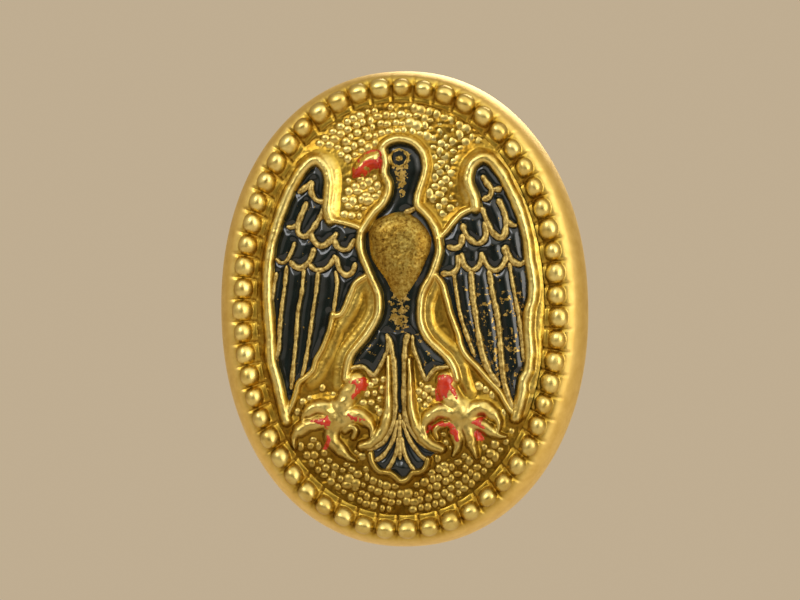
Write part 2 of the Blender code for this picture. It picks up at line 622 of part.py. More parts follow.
def build_prong(name, down, collection, empty, material):
    """A strip with its root curled into an eye round the loop's bar. It folds about that bar."""
    blade = plate([prong_blade()], PRONG_THICKNESS, name)
    bmesh.ops.translate(blade, vec=(0, PRONG_THICKNESS - eye_radius(), 0), verts=blade.verts)
    strip = new_object(name, mesh_from(blade, name), collection, material)

    inner = EYE_SIDE_GAP / 2
    width = PRONG_WIDTH / 2 - inner
    bm = bmesh.new()
    bmesh.ops.create_cone(bm, cap_ends=True, segments=24, radius1=eye_radius(), radius2=eye_radius(), depth=width)
    bmesh.ops.rotate(bm, matrix=Matrix.Rotation(math.radians(90), 3, "Y"), verts=bm.verts)
    bmesh.ops.translate(bm, vec=(-inner - width / 2, 0, 0), verts=bm.verts)
    curl = new_object(name + "_curl", mesh_from(bm, name + "_curl"), bpy.data.collections["cutters"])

    bm = bmesh.new()
    bore = LOOP_WIRE / 2 + EYE_CLEARANCE
    bmesh.ops.create_cone(bm, cap_ends=True, segments=24, radius1=bore, radius2=bore, depth=PRONG_WIDTH * 2)
    bmesh.ops.rotate(bm, matrix=Matrix.Rotation(math.radians(90), 3, "Y"), verts=bm.verts)
    hole = new_object(name + "_hole", mesh_from(bm, name + "_hole"), bpy.data.collections["cutters"])

    for helper, operation in ((curl, "UNION"), (hole, "DIFFERENCE")):
        helper.hide_render = True
        helper.display_type = "WIRE"
        change = strip.modifiers.new(helper.name, "BOOLEAN")
        change.operation = operation
        change.solver = "EXACT"
        change.object = helper
    hinge = bpy.data.objects.new(empty, None)
    collection.objects.link(hinge)
    hinge.location = (0, axis_y() * MM, 0)
    if down:
        hinge.rotation_euler = (0, math.radians(180), 0)
    for child in (strip, curl, hole):
        child.parent = hinge


def main():
    for obj in list(bpy.data.objects):
        bpy.data.objects.remove(obj)
    badge = bpy.data.collections.new("cap_badge")
    relief = bpy.data.collections.new("relief")
    cutters = bpy.data.collections.new("cutters")
    for collection in (badge, relief, cutters):
        bpy.context.scene.collection.children.link(collection)

    gilt = new_material("gilt", GILT, 0.3, 1.0)
    black = new_material("black_lacquer", BLACK, 0.12, 0.0)
    red = new_material("red_lacquer", RED, 0.2, 0.0)
    card = new_material("card", CARD, 0.9, 0.0)
    brass = new_material("brass", BRASS, 0.35, 1.0)

    build_lacquers(badge, black, red)
    build_packing(badge, card)
    build_back_plate(badge, brass)
    build_loop(badge, brass)
    build_prong("prong_upper", False, badge, "prong_upper_hinge", brass)
    build_prong("prong_lower", True, badge, "prong_lower_hinge", brass)
    build_face_shell(badge, relief, gilt)


main()
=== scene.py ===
"""Looks of the oval cap badge: struck gilt relief, beads, lacquer, back plate and folding prongs.

The badge stands as worn: +Z up, its face towards -Y. Shapes are worked out in millimetres, as depths in
front of the lip's plane over the X-Z plane, and become metres when a mesh is made.
"""

import math

import bpy
import numpy as np
from mathutils import Matrix, Vector


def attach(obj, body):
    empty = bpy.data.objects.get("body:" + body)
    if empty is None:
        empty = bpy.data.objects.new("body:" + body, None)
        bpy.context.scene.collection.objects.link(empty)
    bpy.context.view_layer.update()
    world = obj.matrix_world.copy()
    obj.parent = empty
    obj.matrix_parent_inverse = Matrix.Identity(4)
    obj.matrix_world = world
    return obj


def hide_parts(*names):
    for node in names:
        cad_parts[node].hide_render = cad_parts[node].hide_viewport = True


MM = 0.001

# Ovals of the stamping, as half width and half height
OVAL_POWER = 2.12
FIELD = (9.1, 12.95)
FIELD_OVERLAP = 0.06
FIELD_DEPTH = 2.9
FIELD_RISE = 0.5

# Resolution of the meshes
FIELD_COLUMNS = 258
FIELD_ROWS = 360
STEPS_PER_BEAD = 16
POOL_STEP = 0.062
LINE_STEP = 0.12
FINE_LINE_STEP = 0.09

# Beads round the rim, with a crease between each two and a shallow trough at the foot of each crease
BEAD_LINE = (9.97, 13.87)
BEAD_COUNT = 55
BEAD_RADIUS = 0.6
BEAD_POWER = 2.2
BEAD_HEIGHT = 0.42
BEAD_SPREAD = 0.05
BEAD_SHIFT = 0.03
CREASE_DEPTH = 0.16
CREASE_WIDTH = 0.075
TROUGH_DEPTH = 0.08

# Section of the rim, from the field outwards and round to the lip: half width, half height, depth, and the
# number of steps to the next
RIM_SECTION = [
    (9.02, 12.87, 2.5, 3), (9.1, 12.95, 2.94, 5), (9.24, 13.1, 3.03, 5), (9.42, 13.3, 3.03, 8),
    (9.62, 13.5, 3.12, 12), (9.97, 13.87, 3.24, 12), (10.36, 14.17, 3.22, 9), (10.75, 14.43, 3.13, 6),
    (11.1, 14.65, 2.9, 6), (11.42, 14.84, 2.45, 5), (11.64, 14.96, 1.85, 4), (11.7, 15.0, 1.3, 4),
    (11.62, 14.93, 0.65, 5), (11.42, 14.73, 0.16, 4), (11.1, 14.42, 0.0, 3), (10.5, 13.8, 0.0, 3),
    (10.0, 13.3, 0.0, 2), (9.9, 13.2, 0.08, 2), (9.9, 13.2, 0.3, 2), (10.0, 13.3, 0.38, 2),
    (10.7, 14.0, 0.42, 2), (11.1, 14.4, 0.8, 1), (11.15, 14.45, 1.5, 1), (10.7, 14.1, 2.45, 1),
    (9.9, 13.5, 2.6, 1),
]

# Pebbles that cover the field: their pitch, and rings of one as share of its radius and height above its foot
PEBBLE_PITCH = 0.6
PEBBLE_ROWS = 0.51
FIRST_PEBBLE_ROW = 0.28
LAST_PEBBLE_ROW = 8.8
PEBBLE_RADIUS = 0.325
PEBBLE_HEIGHT = 0.68
PEBBLE_JITTER = 0.05
PEBBLE_LEAN = 0.12
PEBBLE_SIDES = 14
PEBBLE_RINGS = [(1.0, -0.45), (1.0, -0.05), (0.92, 0.32), (0.76, 0.6), (0.52, 0.82), (0.22, 0.96)]

# Middle of the eagle's drawing on the badge
DRAWING_CENTRE = (0.35, -0.08)

# Camera: where it stands, as angles round the badge, and what it frames
CAMERA_DISTANCE = 260.0
CAMERA_AZIMUTH = 9.0
CAMERA_ELEVATION = -1.0
CAMERA_ROLL = -0.9
SENSOR_WIDTH = 36.0
VIEW_WIDTH = 50.4
VIEW_OFFSET = (0.13, -0.54)
VIEW_DEPTH = 2.0

# Surroundings: what lies behind, a patch of shade ahead, and tints from down to up and from left to right
BACKDROP = (0.525, 0.42, 0.285)
SHADE = (0.12, 0.10, 0.055)
SHADE_DIRECTION = (0.1, -0.975, -0.2)
TINT_BY_HEIGHT = [
    (0.25, (0.20, 0.14, 0.07)), (0.45, (0.34, 0.26, 0.15)), (0.55, (0.82, 0.77, 0.66)),
    (0.75, (0.95, 0.92, 0.85)),
]
TINT_BY_SIDE = [(0.2, (0.85, 0.8, 0.74)), (0.8, (2.0, 2.0, 1.95))]
FLOOR_HALF = 160.0
FLOOR_LEVEL = -42.0

# Soft lights: place in metres, width and height in metres, power and colour
LIGHTS = {
    "key_softbox": ((-0.28, -0.52, 0.36), (0.28, 0.28), 1.45, (0.97, 0.98, 1.0)),
    "fill_softbox": ((0.52, -0.38, 0.05), (0.3, 0.4), 1.2, (1.0, 0.98, 0.95)),
    "back_softbox": ((0.1, 0.6, 0.4), (0.4, 0.4), 3.0, (1.0, 0.98, 0.95)),
}

# Lacquer: its level above the field, how far each pool is domed, and how thick it and the thin red coats are
LEVEL = 0.17
PILLOW = 0.16
POOL_THICKNESS = 0.5
COAT_THICKNESS = 0.05
COAT_SINK = 0.05
COAT_BODY = 0.35

# Raised lines: half width and height of each kind. A slope falls off straight, the others are round.
ROPE = (0.34, 0.62)
WIDE_ROPE = (0.44, 0.64)
OUTER_LINE = (0.44, 0.27)
EDGE = (0.26, 0.48)
RIB = (0.165, 0.4)
THIN_RIB = (0.125, 0.38)
SLOPE = (0.54, 0.4)
SLOPE_POWER = 1.3
ROUNDING = 0.62
BLEND = 0.12

# A stroke's low skirt: its height as share of the stroke's, and where it starts and ends, in half widths
SKIRT_HEIGHT = 0.24
SKIRT = (0.75, 1.75)

# How far from a line its distance is still worked out, and how its width and place waver
LINE_REACH = 1.5
CLEAR_REACH = 0.9
WIDTH_WAVER = 0.07
PLACE_WAVER = 0.02

# Distances over which the figure takes over from the pebbles, beside a region and beside a stroke
REGION_MARGIN = (-0.5, -0.15)
STROKE_MARGIN = (0.05, 0.4)

LINES = {
    "wing_left": (WIDE_ROPE, [
        (-4.6, 5.75), (-4.76, 6.3), (-4.7, 7.3), (-4.64, 8.2), (-4.87, 9.0), (-5.5, 9.54), (-6.33, 8.97),
        (-7.25, 7.5), (-8.05, 5.5), (-8.58, 3.5), (-8.74, 1.6), (-8.68, 0.0), (-8.6, -1.6), (-8.55, -3.07),
        (-8.17, -4.47), (-7.98, -5.42), (-7.66, -6.87),
    ]),
    "wing_left_slope": (SLOPE, [
        (-4.45, 5.95), (-4.35, 7.2), (-4.3, 8.5), (-4.65, 9.35), (-5.5, 9.75), (-6.4, 9.2),
    ]),
    "wing_left_top": (EDGE, [(-4.7, 5.75), (-3.5, 5.47), (-2.65, 5.15)]),
    "wing_left_notch": (EDGE, [
        (-2.4, 2.1), (-3.04, 1.7), (-3.36, 1.0), (-3.67, 0.3), (-3.99, -0.2), (-4.45, -0.35),
    ]),
    "wing_left_edge": (EDGE, [
        (-4.5, -0.2), (-4.69, -1.05), (-4.95, -1.75), (-5.3, -2.5), (-5.64, -3.07), (-5.83, -3.7),
        (-6.3, -4.15), (-6.78, -4.5), (-6.97, -5.1), (-7.28, -5.9), (-7.66, -6.87),
    ]),
    "wing_left_fold": (OUTER_LINE, [
        (-2.75, 1.5), (-3.05, 0.7), (-3.35, 0.0), (-3.8, -0.6), (-4.15, -1.2), (-4.45, -2.0), (-4.8, -2.75),
        (-5.2, -3.4), (-5.5, -4.0), (-6.0, -4.5),
    ]),
    "scale_left_1": (RIB, [(-6.65, 7.45), (-6.1, 7.84), (-5.72, 8.2)]),
    "scale_left_1b": (RIB, [(-5.72, 8.2), (-5.82, 7.55), (-5.5, 7.0), (-4.9, 6.82)]),
    "scale_left_2": (RIB, [
        (-6.08, 6.9), (-6.35, 6.3), (-6.65, 5.6), (-6.7, 5.0), (-6.4, 4.72), (-6.05, 4.78), (-5.75, 5.15),
        (-5.35, 5.75), (-4.95, 6.5),
    ]),
    "scale_left_2b": (RIB, [(-6.7, 5.45), (-7.1, 5.3), (-7.4, 5.35)]),
    "scale_left_3": (RIB, [
        (-5.9, 5.0), (-5.76, 4.55), (-5.42, 4.15), (-5.02, 4.1), (-4.63, 4.38), (-4.3, 4.7), (-4.2, 4.95),
    ]),
    "scale_left_4": (RIB, [(-4.34, 4.5), (-4.2, 4.05), (-3.83, 3.81), (-3.4, 3.9), (-3.04, 4.5)]),
    "covert_left_0": (THIN_RIB, [(-8.14, 3.36), (-7.86, 3.1), (-7.5, 3.15), (-7.15, 3.7), (-6.89, 4.38)]),
    "covert_left_1": (RIB, [
        (-7.23, 3.2), (-6.95, 2.85), (-6.5, 2.74), (-6.04, 3.08), (-5.8, 3.5), (-5.65, 4.0),
    ]),
    "covert_left_2": (RIB, [(-5.99, 2.96), (-5.6, 2.6), (-5.1, 2.6), (-4.63, 2.91), (-4.29, 3.5)]),
    "covert_left_3": (RIB, [(-4.25, 3.42), (-4.05, 2.6), (-3.6, 2.22), (-3.2, 2.45), (-3.0, 3.0)]),
    "quill_left_0": (THIN_RIB, [(-8.1, 2.5), (-8.3, 1.55), (-8.45, 0.8), (-8.65, 0.6)]),
    "quill_left_1": (THIN_RIB, [
        (-7.44, 2.9), (-7.6, 1.55), (-7.78, 0.4), (-7.95, -1.0), (-8.06, -2.4), (-8.4, -3.2),
    ]),
    "quill_left_2": (THIN_RIB, [
        (-6.33, 2.7), (-6.49, 1.2), (-6.75, 0.0), (-6.93, -1.93), (-7.1, -3.3), (-7.28, -4.9),
    ]),
    "quill_left_3": (THIN_RIB, [
        (-5.42, 2.5), (-5.57, 1.2), (-5.78, 0.0), (-6.0, -1.4), (-6.33, -3.2), (-6.6, -4.2),
    ]),
    "quill_left_4": (THIN_RIB, [(-4.3, 2.5), (-4.21, 1.74), (-4.31, 0.9), (-4.5, -0.2)]),
    "wing_right": (WIDE_ROPE, [
        (4.6, 6.3), (4.5, 6.95), (4.24, 7.6), (4.17, 8.2), (4.45, 9.0), (5.02, 9.42), (5.6, 9.25),
        (6.27, 8.4), (6.89, 7.2), (7.4, 6.0), (7.75, 4.6), (7.95, 3.0), (8.13, 1.8), (8.15, 0.7),
        (7.88, -0.3), (7.85, -1.6), (7.9, -2.8), (7.78, -3.9), (7.46, -4.6), (7.34, -5.5), (6.93, -6.87),
    ]),
    "wing_right_outer": (OUTER_LINE, [
        (5.95, 9.35), (6.75, 8.1), (7.5, 6.6), (8.05, 4.7), (8.35, 2.6), (8.5, 0.8), (8.3, -1.5),
        (8.25, -3.4), (7.9, -5.2), (7.4, -6.6),
    ]),
    "wing_right_slope": (SLOPE, [
        (4.2, 6.8), (3.95, 7.6), (3.95, 8.4), (4.25, 9.15), (5.0, 9.65), (5.8, 9.3),
    ]),
    "wing_right_top": (EDGE, [(4.6, 6.3), (3.83, 5.97), (3.27, 5.46), (2.87, 4.95), (2.4, 4.5)]),
    "wing_right_edge": (EDGE, [
        (2.08, 2.1), (2.46, 1.55), (2.71, 0.7), (3.0, -0.4), (3.41, -1.55), (3.6, -2.4), (3.95, -3.05),
        (4.6, -3.7), (5.43, -4.7), (6.0, -5.3), (6.4, -6.1), (6.93, -6.87),
    ]),
    "scale_right_1": (RIB, [(5.05, 8.3), (5.35, 7.8), (5.62, 7.4), (5.5, 6.95), (5.05, 6.78)]),
    "scale_right_1b": (RIB, [(5.62, 7.4), (6.28, 7.42)]),
    "scale_right_2": (RIB, [
        (5.0, 6.3), (5.25, 5.6), (5.48, 5.05), (5.76, 4.6), (6.1, 4.38), (6.38, 4.5), (6.48, 4.9),
        (6.5, 5.5), (6.35, 6.1), (6.02, 6.8),
    ]),
    "scale_right_2b": (RIB, [(6.5, 5.45), (6.84, 5.17), (7.2, 5.1)]),
    "scale_right_3": (RIB, [
        (5.14, 5.4), (5.25, 4.66), (5.08, 4.2), (4.68, 4.04), (4.25, 4.3), (3.95, 4.72), (3.78, 5.3),
    ]),
    "scale_right_4": (RIB, [(3.8, 4.65), (3.66, 3.98), (3.27, 3.76), (2.8, 3.9)]),
    "covert_right_0": (RIB, [(3.5, 3.35), (3.46, 2.6), (3.1, 2.22), (2.4, 2.2)]),
    "covert_right_1": (RIB, [
        (3.72, 3.47), (3.78, 2.9), (4.05, 2.5), (4.4, 2.4), (4.74, 2.6), (4.93, 3.0), (4.97, 3.5),
    ]),
    "covert_right_2": (RIB, [
        (4.97, 3.4), (5.2, 2.8), (5.55, 2.4), (5.95, 2.37), (6.3, 2.7), (6.48, 3.2), (6.3, 3.8),
    ]),
    "covert_right_3": (RIB, [(6.42, 3.9), (6.62, 3.35), (6.95, 2.85), (7.4, 2.7), (7.8, 3.0)]),
    "quill_right_1": (THIN_RIB, [
        (6.68, 2.8), (6.92, 1.2), (7.1, 0.2), (7.28, -1.0), (7.4, -2.3), (7.5, -3.4),
    ]),
    "quill_right_2": (RIB, [
        (5.4, 2.4), (5.62, 0.9), (5.84, -0.2), (6.0, -1.6), (6.08, -3.0), (6.2, -4.4), (6.45, -5.5),
        (6.75, -6.4),
    ]),
    "quill_right_3": (RIB, [
        (4.28, 2.4), (4.36, 0.9), (4.5, -0.2), (4.72, -1.8), (4.95, -3.0), (5.35, -4.0), (5.95, -4.95),
    ]),
    "quill_right_4": (THIN_RIB, [(3.2, 2.2), (3.4, 0.7), (3.58, -0.4), (3.9, -1.5), (4.4, -2.9)]),
    "neck_left": (ROPE, [
        (-2.62, 4.9), (-2.33, 5.33), (-1.8, 6.07), (-1.2, 6.67), (-0.9, 7.27), (-0.82, 7.87), (-1.1, 8.6),
        (-1.05, 9.2), (-1.12, 9.67), (-1.25, 10.05), (-1.1, 10.36), (-0.67, 10.63), (-0.07, 10.72),
        (0.53, 10.6), (1.0, 10.27), (1.35, 9.8), (1.5, 9.2), (1.5, 8.73), (1.33, 8.13), (1.13, 7.53),
        (1.0, 7.0), (1.0, 6.5), (1.53, 5.93), (1.87, 5.47), (2.1, 5.0), (2.28, 4.33),
    ]),
    "body_right": (ROPE, [
        (2.28, 4.33), (2.3, 3.7), (2.2, 3.13), (1.98, 2.5), (1.68, 1.9), (1.33, 1.3), (1.12, 0.6),
        (1.06, -0.3), (1.2, -1.2), (1.6, -1.95), (2.2, -2.55), (2.75, -3.1), (3.12, -3.7), (3.3, -4.4),
    ]),
    "body_right_outer": (OUTER_LINE, [
        (2.1, 1.75), (1.8, 1.0), (1.55, 0.2), (1.55, -0.6), (1.85, -1.4), (2.5, -2.1), (3.2, -2.8),
        (3.6, -3.6), (3.8, -4.5), (4.1, -5.3),
    ]),
    "body_left": (ROPE, [
        (-2.62, 4.9), (-2.73, 4.2), (-2.6, 3.5), (-2.27, 2.67), (-2.0, 2.0), (-1.7, 1.35), (-1.55, 0.8),
        (-1.57, 0.0), (-1.8, -0.7), (-2.34, -1.55), (-2.91, -2.2), (-3.36, -2.76), (-3.62, -3.4),
        (-3.76, -4.3),
    ]),
    "body_left_outer": (OUTER_LINE, [
        (-2.4, 1.8), (-2.05, 0.9), (-2.05, -0.1), (-2.5, -1.0), (-3.2, -1.8), (-3.85, -2.6),
        (-4.2, -3.6), (-4.3, -4.7),
    ]),
    "breast_collar": (RIB, [(1.02, 6.45), (0.6, 6.22), (0.13, 6.05)]),
    "tuft_left": (THIN_RIB, [
        (-3.6, -3.7), (-3.0, -3.55), (-2.53, -3.62), (-2.05, -4.08), (-1.75, -3.85), (-1.4, -3.27),
        (-1.08, -2.6), (-1.0, -2.0), (-1.1, -1.5),
    ]),
    "tuft_right": (THIN_RIB, [
        (0.55, -1.6), (0.58, -2.4), (0.87, -3.2), (1.07, -3.87), (1.33, -4.42), (1.62, -4.1),
        (1.95, -3.75), (2.6, -3.65), (3.1, -3.6),
    ]),
    "tail_left": (RIB, [
        (-1.08, -1.6), (-0.9, -2.1), (-0.76, -2.8), (-0.66, -3.6), (-0.63, -4.6), (-0.64, -5.6),
        (-0.68, -6.6), (-0.85, -7.3), (-1.25, -8.0), (-1.8, -8.5), (-2.5, -8.75),
    ]),
    "tail_right": (RIB, [
        (0.28, -1.5), (0.07, -2.2), (0.0, -3.2), (-0.03, -4.4), (-0.05, -5.6), (-0.03, -6.5), (0.15, -7.2),
        (0.55, -7.9), (1.1, -8.45), (1.75, -8.8), (2.2, -8.9),
    ]),
    "tail_middle": (THIN_RIB, [(-0.35, -6.55), (-0.38, -7.4), (-0.4, -8.4), (-0.4, -9.4)]),
    "tail_fan_left": (THIN_RIB, [(-0.5, -6.9), (-0.65, -7.6), (-0.95, -8.4), (-1.5, -9.15), (-2.0, -9.45)]),
    "tail_fan_right": (THIN_RIB, [(-0.2, -6.9), (0.0, -7.6), (0.3, -8.3), (0.85, -9.1), (1.35, -9.5)]),
    "tail_fan_inner_left": (THIN_RIB, [(-0.48, -8.0), (-0.62, -8.9), (-1.0, -9.7), (-1.3, -10.05)]),
    "tail_fan_inner_right": (THIN_RIB, [(-0.28, -8.0), (-0.15, -8.9), (0.2, -9.7), (0.5, -10.05)]),
    "tail_hem": (EDGE, [
        (-2.3, -9.0), (-2.15, -9.6), (-1.8, -10.1), (-1.3, -10.2), (-0.95, -10.3), (-0.6, -10.65),
        (-0.3, -10.75), (0.05, -10.6), (0.35, -10.25), (0.8, -10.2), (1.15, -9.95), (1.35, -9.4),
    ]),
}

# Tail petals, shanks, toes and claws: half width at the start and at the end, height, and path
STROKES = {
    "petal_left": (0.14, 0.48, 0.62, [
        (-0.98, -2.9), (-1.05, -5.0), (-1.1, -6.3), (-1.3, -7.2), (-1.75, -7.95),
    ]),
    "petal_left_end": (0.48, 0.34, 0.62, [(-1.75, -7.95), (-2.3, -8.4), (-2.85, -8.5)]),
    "petal_right": (0.14, 0.48, 0.62, [(0.34, -3.1), (0.36, -5.0), (0.4, -6.2), (0.62, -7.2), (1.05, -8.05)]),
    "petal_right_end": (0.48, 0.34, 0.62, [(1.05, -8.05), (1.55, -8.5), (2.25, -8.8)]),
    "shank_left": (0.72, 0.74, 0.69, [(-3.1, -4.5), (-3.6, -5.3), (-4.05, -6.0), (-4.45, -6.8)]),
    "toe_left_1": (0.66, 0.48, 0.65, [(-4.4, -6.7), (-5.1, -6.15), (-5.75, -6.05), (-6.2, -6.35)]),
    "claw_left_1": (0.43, 0.1, 0.56, [(-6.2, -6.35), (-6.5, -6.6), (-6.55, -7.0)]),
    "toe_left_2": (0.6, 0.5, 0.65, [(-4.6, -6.9), (-5.4, -7.0), (-6.2, -7.15), (-6.8, -7.5)]),
    "claw_left_2": (0.46, 0.1, 0.56, [(-6.8, -7.5), (-7.15, -7.95), (-7.1, -8.6)]),
    "toe_left_3": (0.66, 0.5, 0.62, [(-4.5, -7.0), (-4.75, -7.7), (-4.6, -8.3), (-4.15, -8.8)]),
    "claw_left_3": (0.48, 0.1, 0.56, [(-4.15, -8.8), (-3.75, -9.15), (-3.2, -9.45)]),
    "toe_left_4": (0.66, 0.5, 0.67, [(-4.2, -6.9), (-3.6, -6.6), (-2.95, -6.6), (-2.45, -6.95)]),
    "claw_left_4": (0.5, 0.12, 0.58, [(-2.45, -6.95), (-2.15, -7.4), (-2.2, -7.95)]),
    "curl_left": (0.31, 0.24, 0.47, [(-3.9, -7.5), (-3.5, -7.3), (-3.2, -7.5), (-3.35, -7.95)]),
    "palm_left": (0.96, 0.84, 0.56, [(-4.3, -6.3), (-4.7, -6.9)]),
    "palm_right": (0.96, 0.84, 0.56, [(3.4, -6.4), (3.8, -6.9)]),
    "shank_right": (0.7, 0.74, 0.69, [(2.6, -4.5), (2.75, -5.3), (3.15, -6.0), (3.6, -6.8)]),
    "toe_right_1": (0.66, 0.5, 0.67, [(3.3, -6.75), (2.7, -6.45), (2.0, -6.4), (1.5, -6.75)]),
    "claw_right_1": (0.5, 0.12, 0.58, [(1.5, -6.75), (1.15, -7.3), (1.35, -8.0)]),
    "curl_right": (0.31, 0.26, 0.47, [(2.75, -7.2), (2.2, -7.3), (1.85, -7.65), (1.95, -8.05)]),
    "toe_right_2": (0.6, 0.48, 0.62, [(3.4, -7.0), (3.15, -7.6), (3.25, -8.2)]),
    "claw_right_2": (0.46, 0.1, 0.54, [(3.25, -8.2), (3.2, -8.7), (2.95, -9.2)]),
    "toe_right_3": (0.58, 0.46, 0.58, [(3.75, -7.0), (3.95, -7.8), (4.1, -8.4)]),
    "claw_right_3": (0.43, 0.1, 0.54, [(4.1, -8.4), (4.3, -8.9), (4.45, -9.4)]),
    "toe_right_4": (0.62, 0.48, 0.63, [(3.9, -6.8), (4.4, -6.3), (5.0, -6.25), (5.5, -6.65)]),
    "claw_right_4": (0.46, 0.1, 0.56, [(5.5, -6.65), (5.85, -7.1), (5.85, -7.7)]),
    "toe_right_5": (0.54, 0.43, 0.58, [(4.1, -7.1), (4.8, -7.35), (5.4, -7.75)]),
    "claw_right_5": (0.41, 0.1, 0.52, [(5.4, -7.75), (5.9, -8.0), (6.3, -8.05)]),
}


def along(name, first, last):
    """Points of one of the lines, by number from first to last, which runs backwards where last is lower."""
    path = LINES[name][1]
    return path[first:last + 1] if last > first else path[last:first + 1][::-1]


# Regions of the drawing that rise a little above the ground, and the pools of lacquer that lie in them
LEFT_WING = [
    (-4.7, 5.75), *along("wing_left", 1, 16), *along("wing_left_edge", 9, 1), (-4.5, -0.3),
    *along("wing_left_notch", 4, 0), *along("body_left", 3, 1), (-2.62, 5.13), (-3.5, 5.47),
]
RIGHT_WING = [
    *along("wing_right_top", 4, 0), *along("wing_right", 1, 20), *along("wing_right_edge", 10, 0),
    (2.2, 3.13), (2.3, 3.7),
]
HEAD = [*along("neck_left", 1, 21), (0.6, 6.1), (-0.4, 5.7), (-1.5, 5.2)]
BODY = [
    (-2.33, 5.33), (-1.8, 6.07), (-0.6, 6.2), (0.4, 6.2), (1.02, 6.4), *along("neck_left", 22, 25),
    *along("body_right", 1, 8), (0.9, -1.7), (0.28, -1.6), (-0.4, -1.7), (-1.08, -1.6), (-1.5, -1.6),
    (-1.95, -1.1), *along("body_left", 8, 0),
]
LEFT_THIGH = [
    (-1.3, -1.2), (-1.95, -1.1), *along("body_left", 9, 11), (-3.6, -3.4), (-3.3, -3.62),
    *along("tuft_left", 2, 7), (-1.08, -1.5),
]
RIGHT_THIGH = [
    (0.9, -1.4), (1.3, -1.45), *along("body_right", 9, 11), (3.05, -3.6), *along("tuft_right", 7, 0),
]
TAIL_SHAFT = [
    (-1.08, -1.3), *along("tail_left", 1, 4), (-0.62, -5.6), (-0.5, -6.4), (-0.35, -6.55), (-0.2, -6.4),
    *along("tail_right", 4, 1), (0.28, -1.3),
]
TAIL_FAN = [
    (-0.36, -6.6), (-0.7, -6.8), *along("tail_left", 7, 9), (-2.45, -8.75), (-2.25, -9.1), (-2.1, -9.6),
    (-1.75, -10.05), *along("tail_hem", 3, 8), (0.8, -10.15), (1.15, -9.9), (1.45, -9.4), (1.8, -9.05),
    (2.0, -8.9), *along("tail_right", 9, 6), (-0.03, -6.7),
]
REGIONS = (LEFT_WING, RIGHT_WING, HEAD, BODY, LEFT_THIGH, RIGHT_THIGH, TAIL_SHAFT, TAIL_FAN)

BEAK = [
    (-1.3, 9.95), (-1.75, 10.12), (-2.3, 9.95), (-2.85, 9.5), (-3.15, 9.0), (-3.2, 8.45), (-2.95, 8.3),
    (-2.4, 8.4), (-1.9, 8.75), (-1.35, 8.85), (-1.25, 9.4),
]

# Eye and details of the head and breast
EYE = (-0.17, 9.5)
PUPIL_RADIUS = 0.25
PUPIL_HEIGHT = 0.4
ORBIT_RADIUS = 0.56
ORBIT_HEIGHT = 0.36
BEAK_SPINE = [(-1.3, 9.6), (-2.2, 9.45), (-3.0, 8.6)]
BEAK_RUBBED = [(-1.6, 9.75), (-2.3, 9.6), (-2.85, 9.1)]
BEAK_HEIGHT = 0.6
BREAST_SHOULDER = 1.35
FACE_HEIGHT = 0.2
BREAST = [
    (-0.4, 6.1), (0.67, 5.85), (1.33, 5.27), (1.75, 4.47), (1.72, 3.67), (1.47, 3.0), (1.07, 2.1), (0.6, 1.2),
    (0.3, 0.5), (0.15, -0.3), (0.1, -1.0), (-0.55, -1.0), (-0.6, -0.3), (-0.7, 0.5), (-0.9, 1.33),
    (-1.2, 2.0), (-1.65, 2.67), (-1.97, 3.33), (-2.12, 4.33), (-2.0, 5.13), (-1.4, 5.75),
]
FACE = [
    (-0.65, 9.95), (0.2, 10.05), (0.55, 9.6), (0.45, 9.0), (0.3, 8.3), (0.25, 7.7), (0.05, 6.95), (-0.2, 7.3),
    (-0.35, 8.1), (-0.6, 8.7), (-0.7, 9.3),
]

# Red paint that follows the metal, with the node of the badge that each area belongs to
RED_AREAS = {
    "ankle_left": ("red_ankle_left", [
        (-3.6, -4.45), (-3.0, -4.35), (-2.6, -4.15), (-2.35, -4.5), (-2.45, -5.0), (-2.8, -5.15),
        (-3.3, -5.6), (-3.2, -5.1), (-3.1, -4.75),
    ]),
    "ankle_right": ("red_ankle_right", [
        (2.15, -4.2), (2.55, -4.15), (3.0, -4.3), (3.1, -4.9), (3.4, -5.7), (3.1, -5.4), (2.85, -5.1),
        (2.7, -5.5), (2.1, -5.8), (1.85, -5.5), (1.85, -5.1), (2.05, -4.75),
    ]),
    "toe_left": ("red_claw_left", [
        (-4.9, -6.6), (-5.4, -6.75), (-6.1, -6.9), (-5.4, -7.1), (-5.0, -7.4), (-4.7, -7.0),
    ]),
    "arch_left": ("red_claw_left", [
        (-3.6, -6.75), (-3.1, -6.95), (-2.5, -6.9), (-3.0, -6.65), (-3.5, -6.45), (-3.8, -6.2),
    ]),
    "web_left": ("red_claw_left", [(-4.95, -7.8), (-5.2, -8.3), (-5.35, -8.7), (-4.95, -8.6), (-4.75, -8.2)]),
    "curl_right": ("red_claw_right", [
        (1.3, -7.5), (1.7, -7.2), (2.2, -7.05), (2.75, -7.05), (3.15, -7.35), (3.35, -7.8), (3.3, -8.3),
        (3.0, -8.0), (2.7, -7.5), (2.2, -7.35), (1.7, -7.5), (1.35, -7.85),
    ]),
    "toe_right": ("red_claw_right", [
        (4.3, -7.0), (4.9, -6.75), (5.1, -6.9), (4.7, -7.15), (5.0, -7.5), (4.5, -7.4), (4.15, -7.2),
    ]),
    "web_right": ("red_claw_right", [(4.25, -7.7), (4.7, -7.75), (4.95, -8.2), (4.6, -8.3), (4.3, -8.15)]),
}

# Fitting on the back, as depths in front of the lip: what lies behind it is negative
BACK_HALF = (10.7, 14.0)
BACK_REAR = 0.46
BACK_THICKNESS = 0.35
BACK_COLUMNS = 110
BACK_ROWS = 140
AXIS_DEPTH = -0.54
LOOP_WIRE = 0.8
LOOP_SIDE = 1.62
LOOP_BEND = 0.45
LOOP_SIDES = 20

